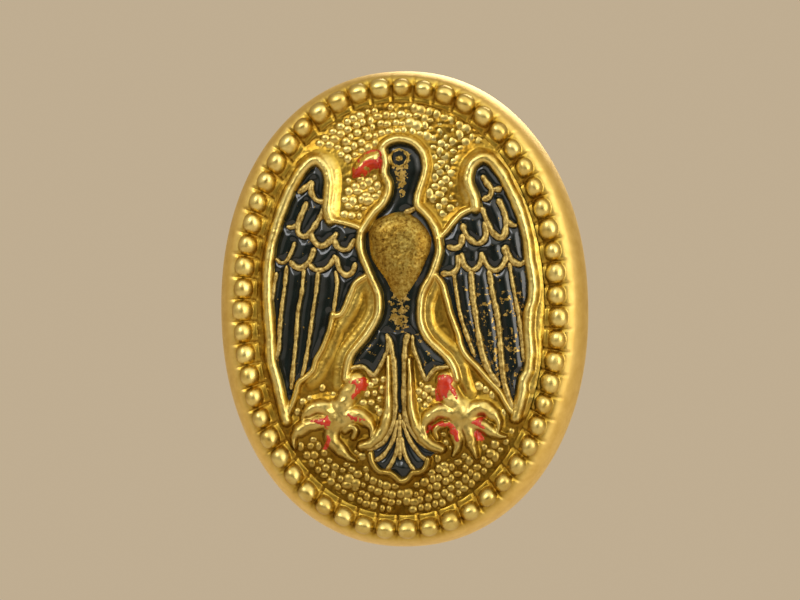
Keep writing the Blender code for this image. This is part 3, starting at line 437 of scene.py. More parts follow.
# Fillets of solder: radius, and depth in front of the back plate, outwards and then down the wire
SOLDER_SIDES = 28
SOLDER_SECTION = [
    (0.3, 0.03), (0.8, 0.03), (0.74, -0.02), (0.58, -0.06), (0.5, -0.14), (0.44, -0.3), (0.36, -0.34),
]

# Prongs: the curl round the loop's bar, the strip and its rounded tip
CURL_RADIUS = 0.76
CURL_GAP = 0.1
CURL_TURN = (-52, 270)
CURL_STEPS = 40
SHOULDER = CURL_RADIUS + 0.12
PRONG_WIDTH = 2.2
PRONG_THICKNESS = 0.3
PRONG_LENGTH = 11.4
PRONG_CORNER = 0.1
TIP_LENGTH = 1.6
TIP_HALF = 0.6


# Arithmetic on lines and regions


def curve(before, start, end, after, count):
    """Points at even steps of a smooth curve from start up to, but without, end, drawn through all four."""
    t = (np.arange(count) / count)[:, None]
    return 0.5 * (2 * start + t * (end - before) + t**2 * (2 * before - 5 * start + 4 * end - after)
                  + t**3 * (3 * start - before - 3 * end + after))


def smooth_line(points, step=LINE_STEP, closed=False):
    """Points about step apart along a smooth curve through the given ones, on the badge's own axes."""
    given = np.array(points, dtype=float) + DRAWING_CENTRE
    count = len(given)
    line = []
    for i in range(count if closed else count - 1):
        before = given[i - 1] if closed or i else given[0]
        start, end = given[i], given[(i + 1) % count]
        after = given[(i + 2) % count] if closed else given[min(i + 2, count - 1)]
        steps = max(1, round(float(np.linalg.norm(end - start)) / step))
        line.append(curve(before, start, end, after, steps))
    if not closed:
        line.append(given[-1:])
    return np.vstack(line)


def distance(points, line, reach, closed=False):
    """Distance of each point to a line, and how far along it, from 0 to 1. Beyond reach it is reach."""
    far = np.full(len(points), reach)
    along = np.zeros(len(points))
    low, high = line.min(axis=0) - reach, line.max(axis=0) + reach
    near = np.flatnonzero(((points > low) & (points < high)).all(axis=1))
    if not len(near):
        return far, along
    some = points[near]
    best = np.full(len(near), reach**2)
    where = np.zeros(len(near))
    ends = np.roll(line, -1, axis=0) if closed else line[1:]
    total = len(ends)
    for i in range(total):
        start, run = line[i], ends[i] - line[i]
        offset = some - start
        t = np.clip(offset @ run / max(float(run @ run), 1e-12), 0, 1)
        gap = ((offset - t[:, None] * run) ** 2).sum(axis=1)
        closer = gap < best
        best[closer] = gap[closer]
        where[closer] = (i + t[closer]) / total
    far[near] = np.sqrt(best)
    along[near] = where
    return far, along


def inside(points, line):
    """True for each point within a closed line."""
    result = np.zeros(len(points), dtype=bool)
    low, high = line.min(axis=0), line.max(axis=0)
    near = np.flatnonzero(((points > low) & (points < high)).all(axis=1))
    x, z = points[near].T
    odd = np.zeros(len(near), dtype=bool)
    for (x0, z0), (x1, z1) in zip(line, np.roll(line, -1, axis=0)):
        spans = (z0 > z) != (z1 > z)
        odd ^= spans & (x < (x1 - x0) * (z - z0) / (z1 - z0 + 1e-12) + x0)
    result[near] = odd
    return result


def signed_distance(points, line, reach=0.6):
    """Distance to a closed line, positive within it."""
    gap, _ = distance(points, line, reach, closed=True)
    return np.where(inside(points, line), gap, -gap)


def smooth_step(value, low, high):
    """0 below low, 1 above high, and a smooth rise between them."""
    t = np.clip((value - low) / (high - low), 0, 1)
    return t * t * (3 - 2 * t)


def smooth_max(height, rise, blend):
    """The higher of the two, with the valley between them filled a little."""
    near = np.clip(1 - np.abs(height - rise) / blend, 0, 1)
    return np.where(rise > 0, np.maximum(height, rise) + near**2 * blend / 4, height)


class Noise:
    """Smooth random values over the plane, from -1 to 1, with cells of a given size."""

    def __init__(self, seed, cell):
        self.cell = cell
        self.table = np.random.default_rng(seed).uniform(-1, 1, (256, 256))

    def __call__(self, points):
        cells = points / self.cell + 1000.0
        base = np.floor(cells).astype(int)
        t = cells - base
        t = t * t * (3 - 2 * t)
        i, j = base[:, 0] % 255, base[:, 1] % 255
        table = self.table
        low = table[i, j] * (1 - t[:, 0]) + table[i + 1, j] * t[:, 0]
        high = table[i, j + 1] * (1 - t[:, 0]) + table[i + 1, j + 1] * t[:, 0]
        return low * (1 - t[:, 1]) + high * t[:, 1]


def across(line):
    """Unit vectors at right angles to a line, to its right."""
    run = np.gradient(line, axis=0)
    return np.stack([run[:, 1], -run[:, 0]], axis=1) / np.linalg.norm(run, axis=1)[:, None]


def even_angles(sides):
    return 2 * math.pi * np.arange(sides) / sides


def on_plane(x, z):
    return np.stack([x.ravel(), z.ravel()], axis=1)


def at_depth(flat, depth):
    """Points in space, from places in the plane and a depth for each."""
    return np.stack([flat[..., 0], depth, flat[..., 1]], axis=-1)


WARP_X = Noise(11, 0.7)
WARP_Z = Noise(12, 0.7)
ROUGH = Noise(13, 0.16)
FINE = Noise(14, 0.09)
BROAD = Noise(15, 2.2)
WORN = Noise(16, 0.2)
WAVER = Noise(17, 0.5)
EYE_CENTRE = np.array(EYE) + DRAWING_CENTRE


# Relief of the field


def reach_out(points):
    """How far out on the field each point is: 0 in the middle, 1 on its edge."""
    x, z = np.abs(points / FIELD).T
    return (x**OVAL_POWER + z**OVAL_POWER) ** (1 / OVAL_POWER)


def ground(points):
    """Depth of the plain domed field."""
    return FIELD_DEPTH + FIELD_RISE * np.clip(1 - reach_out(points) ** 2, 0, None)


def pebble_places():
    """Centre and radius of each pebble, in staggered rows that follow the oval."""
    chance = np.random.default_rng(5)
    places = []
    row = 0
    inset = FIRST_PEBBLE_ROW
    while inset < LAST_PEBBLE_ROW:
        half_x, half_z = FIELD[0] - inset, FIELD[1] - inset
        root = math.sqrt((3 * half_x + half_z) * (half_x + 3 * half_z))
        perimeter = math.pi * (3 * (half_x + half_z) - root)
        count = max(6, round(perimeter / PEBBLE_PITCH))
        for i in range(count):
            turn = 2 * math.pi * (i + 0.5 * (row % 2)) / count
            x, z = chance.normal(0, PEBBLE_JITTER, 2)
            radius = PEBBLE_RADIUS * chance.uniform(0.8, 1.1)
            places.append((half_x * math.cos(turn) + x, half_z * math.sin(turn) + z, radius))
        inset += PEBBLE_ROWS
        row += 1
    return np.array(places)


def rubbed_flat(points):
    """1 where the pebbles are rubbed almost flat, at the upper right, and 0 where they are crisp."""
    x, z = points.T
    return smooth_step(x, 0.0, 3.0) * smooth_step(z, 2.5, 5.5)


def painted_shade_below(points):
    """Painted shade that darkens the metal towards the bottom, from 0 near the middle to 1 at the low end of
    the badge.
    """
    return smooth_step(-points[:, 1], 3.0, 11.0)


def strokes():
    """Each raised stroke as half width at the start and the end, height, path, and whether it is a slope."""
    for (half, top), path in LINES.values():
        yield half, half, top, path, (half, top) == SLOPE
    for stroke in STROKES.values():
        yield *stroke, False


def eye_height(points):
    """Height of the pupil and the ring round it."""
    gap = np.linalg.norm(points - EYE_CENTRE, axis=1)
    pupil = PUPIL_HEIGHT * np.sqrt(np.clip(1 - (gap / PUPIL_RADIUS) ** 2, 0, None))
    orbit = ORBIT_HEIGHT * (1 - smooth_step(np.abs(gap - ORBIT_RADIUS), 0.03, 0.14))
    return np.maximum(pupil, orbit)


def relief(points):
    """The struck metal at each point: its depth, how worn its skin is, and how far any raised line is from it.

    Last comes how fully the figure covers the pebbled ground there.
    """
    warped = points + PLACE_WAVER * np.stack([WARP_X(points), WARP_Z(points)], axis=1)
    height = np.zeros(len(points))
    figure = np.zeros(len(points))
    for region in REGIONS:
        gap = signed_distance(warped, smooth_line(region, closed=True))
        figure = np.maximum(figure, smooth_step(gap, *REGION_MARGIN))

    clear = np.full(len(points), CLEAR_REACH)
    waver = 1 + WIDTH_WAVER * WAVER(points)
    for start_half, end_half, top, path, is_slope in strokes():
        gap, share = distance(warped, smooth_line(path), LINE_REACH)
        half = (start_half + (end_half - start_half) * share) * waver
        part = gap / half
        clear = np.minimum(clear, gap - half)
        if max(start_half, end_half) < EDGE[0]:
            continue
        if is_slope:
            rise = top * np.clip(1 - part**SLOPE_POWER, 0, None)
        else:
            rise = top * np.clip(1 - part**2, 0, None) ** ROUNDING
        rise = np.maximum(rise, SKIRT_HEIGHT * top * (1 - smooth_step(part, *SKIRT)))
        figure = np.maximum(figure, 1 - smooth_step(gap - half, *STROKE_MARGIN))
        height = smooth_max(height, rise, BLEND)

    breast_gap = signed_distance(warped, smooth_line(BREAST, closed=True), reach=1.4) + 0.1
    swell = np.clip(1 - (1 - np.clip(breast_gap / BREAST_SHOULDER, 0, 1)) ** 2, 0, 1) ** 0.6
    breast = (0.22 + 0.75 * smooth_step(warped[:, 1], -0.6, 2.6)) * swell
    height = smooth_max(height, breast, BLEND)
    face_gap = signed_distance(warped, smooth_line(FACE, closed=True))
    height = smooth_max(height, FACE_HEIGHT * smooth_step(face_gap, 0.0, 0.25), BLEND / 2)
    height = np.maximum(height, eye_height(warped))

    beak_gap = signed_distance(warped, smooth_line(BEAK, closed=True))
    spine, _ = distance(warped, smooth_line(BEAK_SPINE), 1.2)
    beak = BEAK_HEIGHT * np.clip(beak_gap / 0.45, 0, 1) ** 0.6 * (1 - 0.45 * smooth_step(spine, 0.1, 0.8))
    height = smooth_max(height, beak, 0.1)
    figure = np.maximum(figure, smooth_step(beak_gap, -0.2, 0))

    worn = np.maximum(smooth_step(breast_gap, 0.0, 0.15), smooth_step(face_gap, -0.1, 0.1))
    height += (1 - figure) * (0.07 * np.abs(WORN(points * 0.6)) - 0.05)
    height += 0.012 * ROUGH(points) + 0.006 * FINE(points) + 0.02 * BROAD(points)
    height += 0.05 * WORN(points * 0.55) * figure * smooth_step(-points[:, 1], 4.3, 5.5)
    height += worn * (0.02 * FINE(points * 1.3) + 0.014 * ROUGH(points * 1.7))
    return ground(points) + height, worn, clear, figure


# Meshes


def link(name, data):
    obj = bpy.data.objects.new(name, data)
    bpy.context.scene.collection.objects.link(obj)
    return obj


def make_object(name, vertices, faces, material):
    """An object from points in millimetres, as (x, depth, z), and groups of faces that look outwards.

    The faces in each group have the same number of corners.
    """
    places = np.array(vertices, dtype=float)
    places = np.stack([places[:, 0], -places[:, 1], places[:, 2]], axis=1) * MM
    groups = [np.array(group, dtype=np.int32) for group in faces]
    corners = np.concatenate([group.ravel() for group in groups])
    totals = np.concatenate([np.full(len(group), group.shape[1], dtype=np.int32) for group in groups])
    mesh = bpy.data.meshes.new(name)
    mesh.vertices.add(len(places))
    mesh.vertices.foreach_set("co", places.ravel())
    mesh.loops.add(len(corners))
    mesh.loops.foreach_set("vertex_index", corners)
    mesh.polygons.add(len(totals))
    mesh.polygons.foreach_set("loop_start", np.cumsum(totals, dtype=np.int32) - totals)
    mesh.polygons.foreach_set("loop_total", totals)
    mesh.update(calc_edges=True)
    mesh.validate()
    mesh.polygons.foreach_set("use_smooth", np.ones(len(mesh.polygons), dtype=bool))
    mesh.materials.append(material)
    return link(name, mesh)


def add_attribute(obj, name, values):
    """A number for each vertex, which a material can read."""
    layer = obj.data.attributes.new(name, "FLOAT", "POINT")
    layer.data.foreach_set("value", np.ascontiguousarray(values, dtype=np.float32))


def add_map(obj, places, turns=(0.0, 0.0)):
    """A flat map for baking, from one place in the plane for each vertex.

    A sheet that closes on itself starts again after the length in turns. Otherwise the faces that look
    backwards lie beside those that look forwards.
    """
    mesh = obj.data
    corners = np.empty(len(mesh.loops), dtype=np.int32)
    mesh.loops.foreach_get("vertex_index", corners)
    totals = np.empty(len(mesh.polygons), dtype=np.int32)
    mesh.polygons.foreach_get("loop_total", totals)
    face = np.repeat(np.arange(len(totals)), totals)
    flat = places[corners]
    for axis in (0, 1):
        if turns[axis]:
            furthest = np.maximum.reduceat(flat[:, axis], np.cumsum(totals) - totals)[face]
            flat[:, axis] += turns[axis] * (flat[:, axis] < furthest - turns[axis] / 2)
    if not any(turns):
        normals = np.empty(3 * len(totals))
        mesh.polygons.foreach_get("normal", normals)
        flat[:, 0] += np.where(normals[1::3] > 0, np.ptp(places[:, 0]) + 0.5, 0)[face]
    low, high = flat.min(axis=0), flat.max(axis=0)
    layer = mesh.uv_layers.new(name="OFBake")
    layer.data.foreach_set("uv", (0.01 + 0.98 * (flat - low) / (high - low).max()).ravel().astype(np.float32))


def grid_faces(rows, columns, wrap=False, ring=False):
    """Corner numbers of a sheet of rows by columns points, which may close across (wrap) and along (ring)."""
    i, j = np.meshgrid(np.arange(rows - (not ring)), np.arange(columns - (not wrap)), indexing="ij")
    i, j = i.ravel(), j.ravel()
    below, beside = (i + 1) % rows * columns, (j + 1) % columns
    return np.stack([i * columns + j, i * columns + beside, below + beside, below + j], axis=1)


def disc_grid(columns, rows):
    """A square grid drawn onto a disc of radius 1."""
    u, v = (side.ravel() for side in np.meshgrid(np.linspace(-1, 1, columns), np.linspace(-1, 1, rows)))
    return u * np.sqrt(1 - v**2 / 2), v * np.sqrt(1 - u**2 / 2)


def field_points():
    """A grid over the oval field."""
    x, z = disc_grid(FIELD_COLUMNS, FIELD_ROWS)
    radius = np.maximum(np.hypot(x, z), 1e-9)
    bulge = (np.abs(x / radius) ** OVAL_POWER + np.abs(z / radius) ** OVAL_POWER) ** (-1 / OVAL_POWER)
    scale = 1 + (bulge - 1) * radius**2
    return np.stack([x * scale * (FIELD[0] + FIELD_OVERLAP), z * scale * (FIELD[1] + FIELD_OVERLAP)], axis=1)


def build_field(material):
    """The struck sheet inside the beads, with all of the figure but its thin lines."""
    points = field_points()
    depth, worn, _, figure = relief(points)
    faces = [grid_faces(FIELD_ROWS, FIELD_COLUMNS)]
    obj = make_object("gilt_field", at_depth(points, depth), faces, material)
    # Rise makes the relief lighter, a painted highlight, and the low places darker, painted shade with some
    # grime. The next number darkens the low end of the badge as painted shade.
    add_attribute(obj, "rise", np.clip((depth - ground(points)) / 0.6 + 0.07 * (1 - figure), 0, 1))
    add_attribute(obj, "painted_shade_below", painted_shade_below(points))
    add_attribute(obj, "worn", worn)
    add_map(obj, points)
    return obj


def build_pebbles(material):
    """The domed pebbles of the ground, wherever the figure leaves room for them."""
    places = pebble_places()
    _, _, _, figure = relief(places[:, :2])
    inner = reach_out(places[:, :2]) < 1 - 0.6 * PEBBLE_RADIUS / FIELD[0]
    x, z = places[:, 0], places[:, 1]
    beside_body = (np.abs(x) < 5.2) & (z > -3.6) & (z < 3.5)
    places = places[(figure < 0.88) & inner & ~beside_body]
    crisp = 1 - 0.5 * rubbed_flat(places[:, :2])
    turn = even_angles(PEBBLE_SIDES)
    section = np.array([(out * math.cos(t), out * math.sin(t), up) for out, up in PEBBLE_RINGS for t in turn])
    centres, radius = places[:, None, :2], places[:, None, 2]
    lean = 1 + PEBBLE_LEAN * np.random.default_rng(6).normal(size=(len(places), 2))
    flat = centres + radius[:, :, None] * section[:, :2] * lean[:, None]
    foot = ground(places[:, :2])[:, None] - 0.05
    depth = foot + radius * PEBBLE_HEIGHT * section[:, 2] * crisp[:, None]
    vertices = at_depth(flat, depth).reshape(-1, 3)
    sides = grid_faces(len(PEBBLE_RINGS), PEBBLE_SIDES, wrap=True)
    last = np.arange(PEBBLE_SIDES) + (len(PEBBLE_RINGS) - 1) * PEBBLE_SIDES
    starts = len(section) * np.arange(len(places))[:, None, None]
    quads = (sides + starts).reshape(-1, 4)
    caps = (np.stack([np.arange(PEBBLE_SIDES)[::-1], last]) + starts).reshape(-1, PEBBLE_SIDES)
    obj = make_object("gilt_pebbles", vertices, [quads, caps], material)
    # Pebbles are lighter towards their tops, a painted highlight, and darker at the foot, painted shade. The
    # badge's low end is darker too, as painted shade.
    add_attribute(obj, "rise", np.tile(np.clip(0.3 + 0.7 * section[:, 2], 0, 1), len(places)))
    add_attribute(obj, "painted_shade_below", np.repeat(painted_shade_below(places[:, :2]), len(section)))
    add_map(obj, vertices[:, [0, 2]])
    return obj


def build_feather_lines(material):
    """The thin flat-topped lines of the feathers and the tail, each a strip of wavering width."""
    right = [(0.4, 1.0), (0.95, 0.86), (1.25, 0.3), (1.25, -0.6)]
    section = np.array([(-x, up) for x, up in right[::-1]] + right)
    cap = np.array([(0, 1, 6, 7), (1, 2, 5, 6), (2, 3, 4, 5)])
    sides = len(section)
    vertices, faces = [], []
    count = 0
    for (half, top), path in LINES.values():
        if half >= EDGE[0]:
            continue
        line = smooth_line(path, step=FINE_LINE_STEP)
        steps = np.arange(len(line))
        taper = np.sqrt(np.clip((np.minimum(steps, steps[::-1]) + 0.6) / 3, 0, 1))
        width = half * taper * (1 + 0.24 * WAVER(line * 1.7) + 0.1 * WORN(line))
        level = top * (0.7 + 0.3 * taper) * (1 + 0.08 * WAVER(line + 40))
        places = line[:, None] + across(line)[:, None] * (width[:, None] * section[:, 0])[:, :, None]
        depth = ground(line)[:, None] + level[:, None] * section[:, 1]
        vertices.append(at_depth(places, depth).reshape(-1, 3))
        end = count + sides * (len(line) - 1)
        faces.extend([grid_faces(len(line), sides, wrap=True) + count, cap + count, cap[:, ::-1] + end])
        count = end + sides
    vertices = np.vstack(vertices)
    obj = make_object("gilt_feather_lines", vertices, faces, material)
    add_attribute(obj, "dull", np.ones(len(vertices)))
    add_map(obj, vertices[:, [0, 2]])
    return obj


def oval(turn):
    """Share of the half width and half height at each angle on an oval of the stamping."""
    return (np.sign(side) * np.abs(side) ** (2 / OVAL_POWER) for side in (np.cos(turn), np.sin(turn)))


def even_turns(size, sides):
    """Angles whose points on an oval lie at even steps of length along it."""
    turn = np.linspace(0, 2 * math.pi, sides * 8 + 1)
    cos, sin = oval(turn)
    length = np.concatenate([[0], np.cumsum(np.hypot(np.diff(size[0] * cos), np.diff(size[1] * sin)))])
    return np.interp(np.linspace(0, length[-1], sides, endpoint=False), length, turn)


def rim_profile():
    """Section of the beaded rim as rows of half width, half height and depth."""
    knots = np.array([knot[:3] for knot in RIM_SECTION])
    count = len(knots)
    return np.vstack([
        curve(knots[i - 1], knots[i], knots[(i + 1) % count], knots[(i + 2) % count], RIM_SECTION[i][3])
        for i in range(count)
    ])


def build_rim(material):
    """The beads, the satin rim and the rolled-in lip: one closed section that runs round the oval."""
    sides = BEAD_COUNT * STEPS_PER_BEAD
    cos, sin = oval(even_turns(BEAD_LINE, sides))
    profile = rim_profile()
    rows = np.arange(len(profile))[:, None]
    x, z = profile[:, 0:1] * cos, profile[:, 1:2] * sin
    widest = np.argmax(profile[:, 0])
    crest_row = np.argmin(np.abs(profile[:widest, 0] - BEAD_LINE[0]))
    offset = np.hypot(x - x[crest_row], z - z[crest_row])
    offset[:crest_row] *= -1
    outer, front = rows > crest_row, rows < widest

    chance = np.random.default_rng(21)
    number = np.arange(sides) // STEPS_PER_BEAD
    size = BEAD_RADIUS * chance.normal(1.0, BEAD_SPREAD, BEAD_COUNT)[number]
    shift = chance.normal(0.0, BEAD_SHIFT, BEAD_COUNT)[number]
    phase = (np.arange(sides) % STEPS_PER_BEAD + 0.5) / STEPS_PER_BEAD - 0.5
    pitch = np.hypot(np.diff(x[crest_row]), np.diff(z[crest_row])).mean() * STEPS_PER_BEAD
    run = phase * pitch
    out = np.abs((offset - shift) / size) ** BEAD_POWER + np.abs(run / size) ** BEAD_POWER
    ball = np.sqrt(np.clip(1 - out, 0, None))
    fade = smooth_step(-offset, -1.2, -0.2)
    gap = pitch / 2 - np.abs(run)
    crease = np.exp(-((gap / CREASE_WIDTH) ** 2)) * fade * smooth_step(offset, -1.1, -0.8)
    trough = (2 * phase) ** 2 * smooth_step(-offset, -0.3, 0.45) * smooth_step(offset, -1.05, -0.75)
    swell = BEAD_HEIGHT * ball - CREASE_DEPTH * crease - TROUGH_DEPTH * trough
    flat = on_plane(x, z)
    rough = Noise(22, 0.5)(flat).reshape(x.shape)
    depth = profile[:, 2:3] + np.where(front, swell + 0.012 * rough * fade, 0)

    faces = [grid_faces(len(profile), sides, wrap=True, ring=True)]
    obj = make_object("gilt_rim", at_depth(flat, depth.ravel()), faces, material)
    # Beads are lighter on their tops, a painted highlight, and darker in the creases, painted shade. The outer
    # slope is lighter too, and the rim gets a little of the painted shade towards the low end.
    painted_light_on_beads = 0.3 + 0.7 * ball - 0.3 * crease + 0.35 * outer * smooth_step(offset, 0.3, 0.9)
    rise = np.where(front, painted_light_on_beads, 0.6)
    add_attribute(obj, "rise", np.clip(rise, 0, 1).ravel())
    add_attribute(obj, "painted_shade_below", 0.35 * painted_shade_below(flat))
    satin = np.where(outer, smooth_step(offset, 0.45, 1.0), 0) + np.where(front, 0, 1)
    add_attribute(obj, "satin", np.clip(satin, 0, 1).ravel())
    along_rim = np.arange(sides) * pitch / STEPS_PER_BEAD
    round_rim = np.cumsum(np.hypot(*np.diff(profile[:, [0, 2]], axis=0, prepend=profile[:1, [0, 2]]).T))
    places = np.stack(np.broadcast_arrays(along_rim, round_rim[:, None]), axis=2).reshape(-1, 2)
    add_map(obj, places, (along_rim[-1] + along_rim[1], round_rim[-1] + 0.2))
    return obj


def pool_grid(region, margin):
    """A fine grid over a region: its points, how far within the region each is, its cells, and its shape.

    The cells kept are those within margin of the region.
    """
    line = smooth_line(region, closed=True)
    low, high = line.min(axis=0) - margin - POOL_STEP, line.max(axis=0) + margin + POOL_STEP
    columns, rows = (int(n) + 2 for n in (high - low) / POOL_STEP)
    x, z = low[0] + POOL_STEP * np.arange(columns), low[1] + POOL_STEP * np.arange(rows)
    points = on_plane(*np.meshgrid(x, z))
    gap = signed_distance(points, line, reach=margin + 0.8)
    faces = grid_faces(rows, columns)
    return points, gap, faces[(gap[faces] > -margin).all(axis=1)], (rows, columns)


def smoothed(values, times):
    """A grid of values, each averaged with its neighbours a few times."""
    for _ in range(times):
        wide = np.pad(values, 1, mode="edge")
        values = (2 * values + wide[2:, 1:-1] + wide[:-2, 1:-1] + wide[1:-1, 2:] + wide[1:-1, :-2]) / 6
    return values


def closed_sheet(name, points, top, bottom, faces, material):
    """A closed thin body between two depths over cells of a grid, and which of the points it uses."""
    used, packed = np.unique(faces, return_inverse=True)
    cells = packed.reshape(faces.shape)
    count = len(used)
    edges = np.concatenate([cells[:, [i, (i + 1) % 4]] for i in range(4)])
    back = {(a, b) for a, b in edges[:, ::-1]}
    rim = np.array([(a, b) for a, b in edges if (a, b) not in back])
    walls = np.stack([rim[:, 1], rim[:, 0], rim[:, 0] + count, rim[:, 1] + count], axis=1)
    flat = np.tile(points[used], (2, 1))
    vertices = at_depth(flat, np.concatenate([top[used], bottom[used]]))
    obj = make_object(name, vertices, [cells, cells[:, ::-1] + count, walls], material)
    add_map(obj, flat)
    return obj, used


def pitting(points, worn):
    """How far paint is rubbed off, from 0 to 1, where worn is the share of it that has gone."""
    grain = 0.5 * WORN(points) + 0.3 * ROUGH(points) + 0.2 * FINE(points)
    return smooth_step(grain, 0.52 - worn, 0.58 - worn)


def wear_at(wear, points):
    """The share of paint gone at each point, where wear is one number or a function of the points."""
    return wear(points) if callable(wear) else np.full(len(points), wear)


def build_pool(name, region, wear, material):
    """Lacquer that fills a region up to the raised lines in it, each pool a little domed."""
    points, gap, faces, shape = pool_grid(region, 0.0)
    metal, _, clear, _ = relief(points)
    dome = smoothed((PILLOW * smooth_step(np.minimum(clear, gap), -0.1, 0.4)).reshape(shape), 3).ravel()
    depth = ground(points) + LEVEL + dome + 0.006 * WARP_X(points * 0.8) + 0.003 * WARP_Z(points * 1.3)
    share = wear_at(wear, points)
    depth = depth + (np.minimum(metal, depth + 0.05) - depth) * smooth_step(share, 0.5, 0.8)
    obj, used = closed_sheet(name, points, depth, depth - POOL_THICKNESS, faces, material)
    add_attribute(obj, "worn", np.tile(share[used], 2))
    return obj


def build_coat(name, region, wear, material):
    """Paint that follows the metal below it and thins away at the region's edge."""
    points, gap, faces, _ = pool_grid(region, 0.12)
    metal, _, _, _ = relief(points)
    edge = gap + 0.1 * WORN(points) + 0.05 * ROUGH(points)
    cover = smooth_step(edge, -0.03, 0.05) * (1 - pitting(points, wear_at(wear, points)))
    depth = metal - COAT_SINK + (COAT_THICKNESS + COAT_SINK) * cover
    obj, _ = closed_sheet(name, points, depth, depth - COAT_BODY, faces, material)
    return obj


# Back of the badge


def build_back_plate(material):
    """The sheet that closes the back, slightly uneven from being pressed in."""
    x, z = disc_grid(BACK_COLUMNS, BACK_ROWS)
    points = np.stack([x * BACK_HALF[0], z * BACK_HALF[1]], axis=1)
    dent = 0.014 * BROAD(points) + 0.006 * WAVER(points) - 0.03 * smooth_step(reach_out(points), 0.86, 0.96)
    rear = BACK_REAR + 0.03 + dent
    front = np.full(len(points), BACK_REAR + BACK_THICKNESS)
    obj, _ = closed_sheet("back_sheet", points, front, rear, grid_faces(BACK_ROWS, BACK_COLUMNS), material)
    return obj


def build_swept(name, rings, material):
    """A solid through closed rings of points, each ring with the same number of them."""
    count, sides = rings.shape[:2]
    ends = np.stack([np.arange(sides)[::-1], np.arange(sides) + (count - 1) * sides])
    obj = make_object(name, rings.reshape(-1, 3), [grid_faces(count, sides, wrap=True), ends], material)
    middles = rings.mean(axis=1)
    along_it = np.cumsum(np.linalg.norm(np.diff(middles, axis=0, prepend=middles[:1]), axis=1))
    girth = 3 * np.ptp(rings[0], axis=0).max()
    round_it = np.arange(sides) * girth / sides
    places = np.stack(np.broadcast_arrays(along_it[:, None], round_it), axis=2).reshape(-1, 2)
    add_map(obj, places, (0.0, girth))
    return obj


def build_loop(material):
    """The wire loop that stands on the back plate."""
    right = [(LOOP_SIDE, depth) for depth in np.linspace(BACK_REAR + 0.02, AXIS_DEPTH + LOOP_BEND, 6)]
    for t in np.linspace(0, math.pi / 2, 9):
        right.append((LOOP_SIDE - LOOP_BEND * (1 - math.cos(t)), AXIS_DEPTH + LOOP_BEND * (1 - math.sin(t))))
    line = np.array(right + [(-x, depth) for x, depth in right[::-1]])
    turn = even_angles(LOOP_SIDES)
    flat = line[:, None] - across(line)[:, None] * LOOP_WIRE / 2 * np.cos(turn)[None, :, None]
    z = np.broadcast_to(LOOP_WIRE / 2 * np.sin(turn), flat.shape[:2])
    return build_swept("loop_wire", np.stack([flat[:, :, 0], flat[:, :, 1], z], axis=2), material)


def build_solder(name, side, material):
    """The fillet of solder round one foot of the loop."""
    turn = even_angles(SOLDER_SIDES)
    spread = 0.09 * np.sin(2 * turn + side) + 0.05 * np.sin(5 * turn)
    inner = SOLDER_SECTION[0][0]
    rings = []
    for radius, depth in SOLDER_SECTION:
        wide = radius * (1 + spread * (radius - inner) * 2)
        level = np.full(SOLDER_SIDES, BACK_REAR + depth)
        rings.append(np.stack([side * LOOP_SIDE + wide * np.cos(turn), level, wide * np.sin(turn)], axis=1))
    return build_swept(name, np.array(rings), material)


def build_prong(name, side, material):
    """A soft strip, its root curled round the loop's bar. Side is 1 for up and -1 for down."""
    middle = CURL_RADIUS - PRONG_THICKNESS / 2
    curl = np.linspace(*np.radians(CURL_TURN), CURL_STEPS)
    line = [(AXIS_DEPTH - middle * math.sin(t), middle * math.cos(t)) for t in curl]
    tip_start = PRONG_LENGTH - TIP_LENGTH
    heights = [0.3, 0.6, *(SHOULDER + rise for rise in (-0.06, -0.02, 0.02, 0.08, 0.3))]
    heights += [*np.linspace(1.6, tip_start, 24), *(tip_start + TIP_LENGTH * np.linspace(0.1, 1, 14))]
    line = np.array(line + [(AXIS_DEPTH + middle, z) for z in heights])
    sideways = across(line)
    z = np.where(np.arange(len(line)) < len(curl), 0, line[:, 1])
    tip = np.clip((z - tip_start) / TIP_LENGTH, 0, 1)
    half = PRONG_WIDTH / 2 - (PRONG_WIDTH / 2 - TIP_HALF) * tip
    half *= np.sqrt(np.clip(1 - np.clip((tip - 0.66) / 0.36, 0, 1) ** 2, 0.02, 1))
    left, right = -half, np.where(z < SHOULDER, -CURL_GAP / 2, half)
    ring = []
    for x_side, y_side, start in ((1, 1, 0), (-1, 1, 90), (-1, -1, 180), (1, -1, 270)):
        for t in np.radians([start, start + 45, start + 90]):
            ring.append((x_side, y_side, math.cos(t) * PRONG_CORNER, math.sin(t) * PRONG_CORNER))
    x_side, y_side, x_corner, y_corner = np.array(ring).T
    inset = np.minimum(PRONG_CORNER, (right - left)[:, None] / 2.2)
    x = np.where(x_side > 0, right[:, None] - inset, left[:, None] + inset) + x_corner * inset / PRONG_CORNER
    up = y_side * (PRONG_THICKNESS / 2 - PRONG_CORNER) + y_corner
    depth = line[:, 0:1] + sideways[:, 0:1] * up
    rings = np.stack([side * x, depth, side * (line[:, 1:2] + sideways[:, 1:2] * up)], axis=2)
    return build_swept(name, rings, material)


# Materials


def node_material(name):
    material = bpy.data.materials.new(name)
    material.use_nodes = True
    tree = material.node_tree
    return material, tree, tree.nodes["Principled BSDF"]


def add_node(tree, kind, **settings):
    """A node with values for its inputs, or for its own settings, by name."""
    node = tree.nodes.new(kind)
    for key, value in settings.items():
        if key in node.inputs:
            node.inputs[key].default_value = value
        else:
            setattr(node, key, value)
    return node


def feed(tree, socket, value):
    """Links an output to a socket, or sets the socket's own value."""
    if isinstance(value, bpy.types.NodeSocket):
        tree.links.new(value, socket)
    else:
        socket.default_value = value


def rgba(value):
    """A colour from red, green and blue, or from one grey level. An output socket stays as it is."""
    if isinstance(value, bpy.types.NodeSocket):
        return value
    return (*value, 1) if isinstance(value, tuple) else (value, value, value, 1)


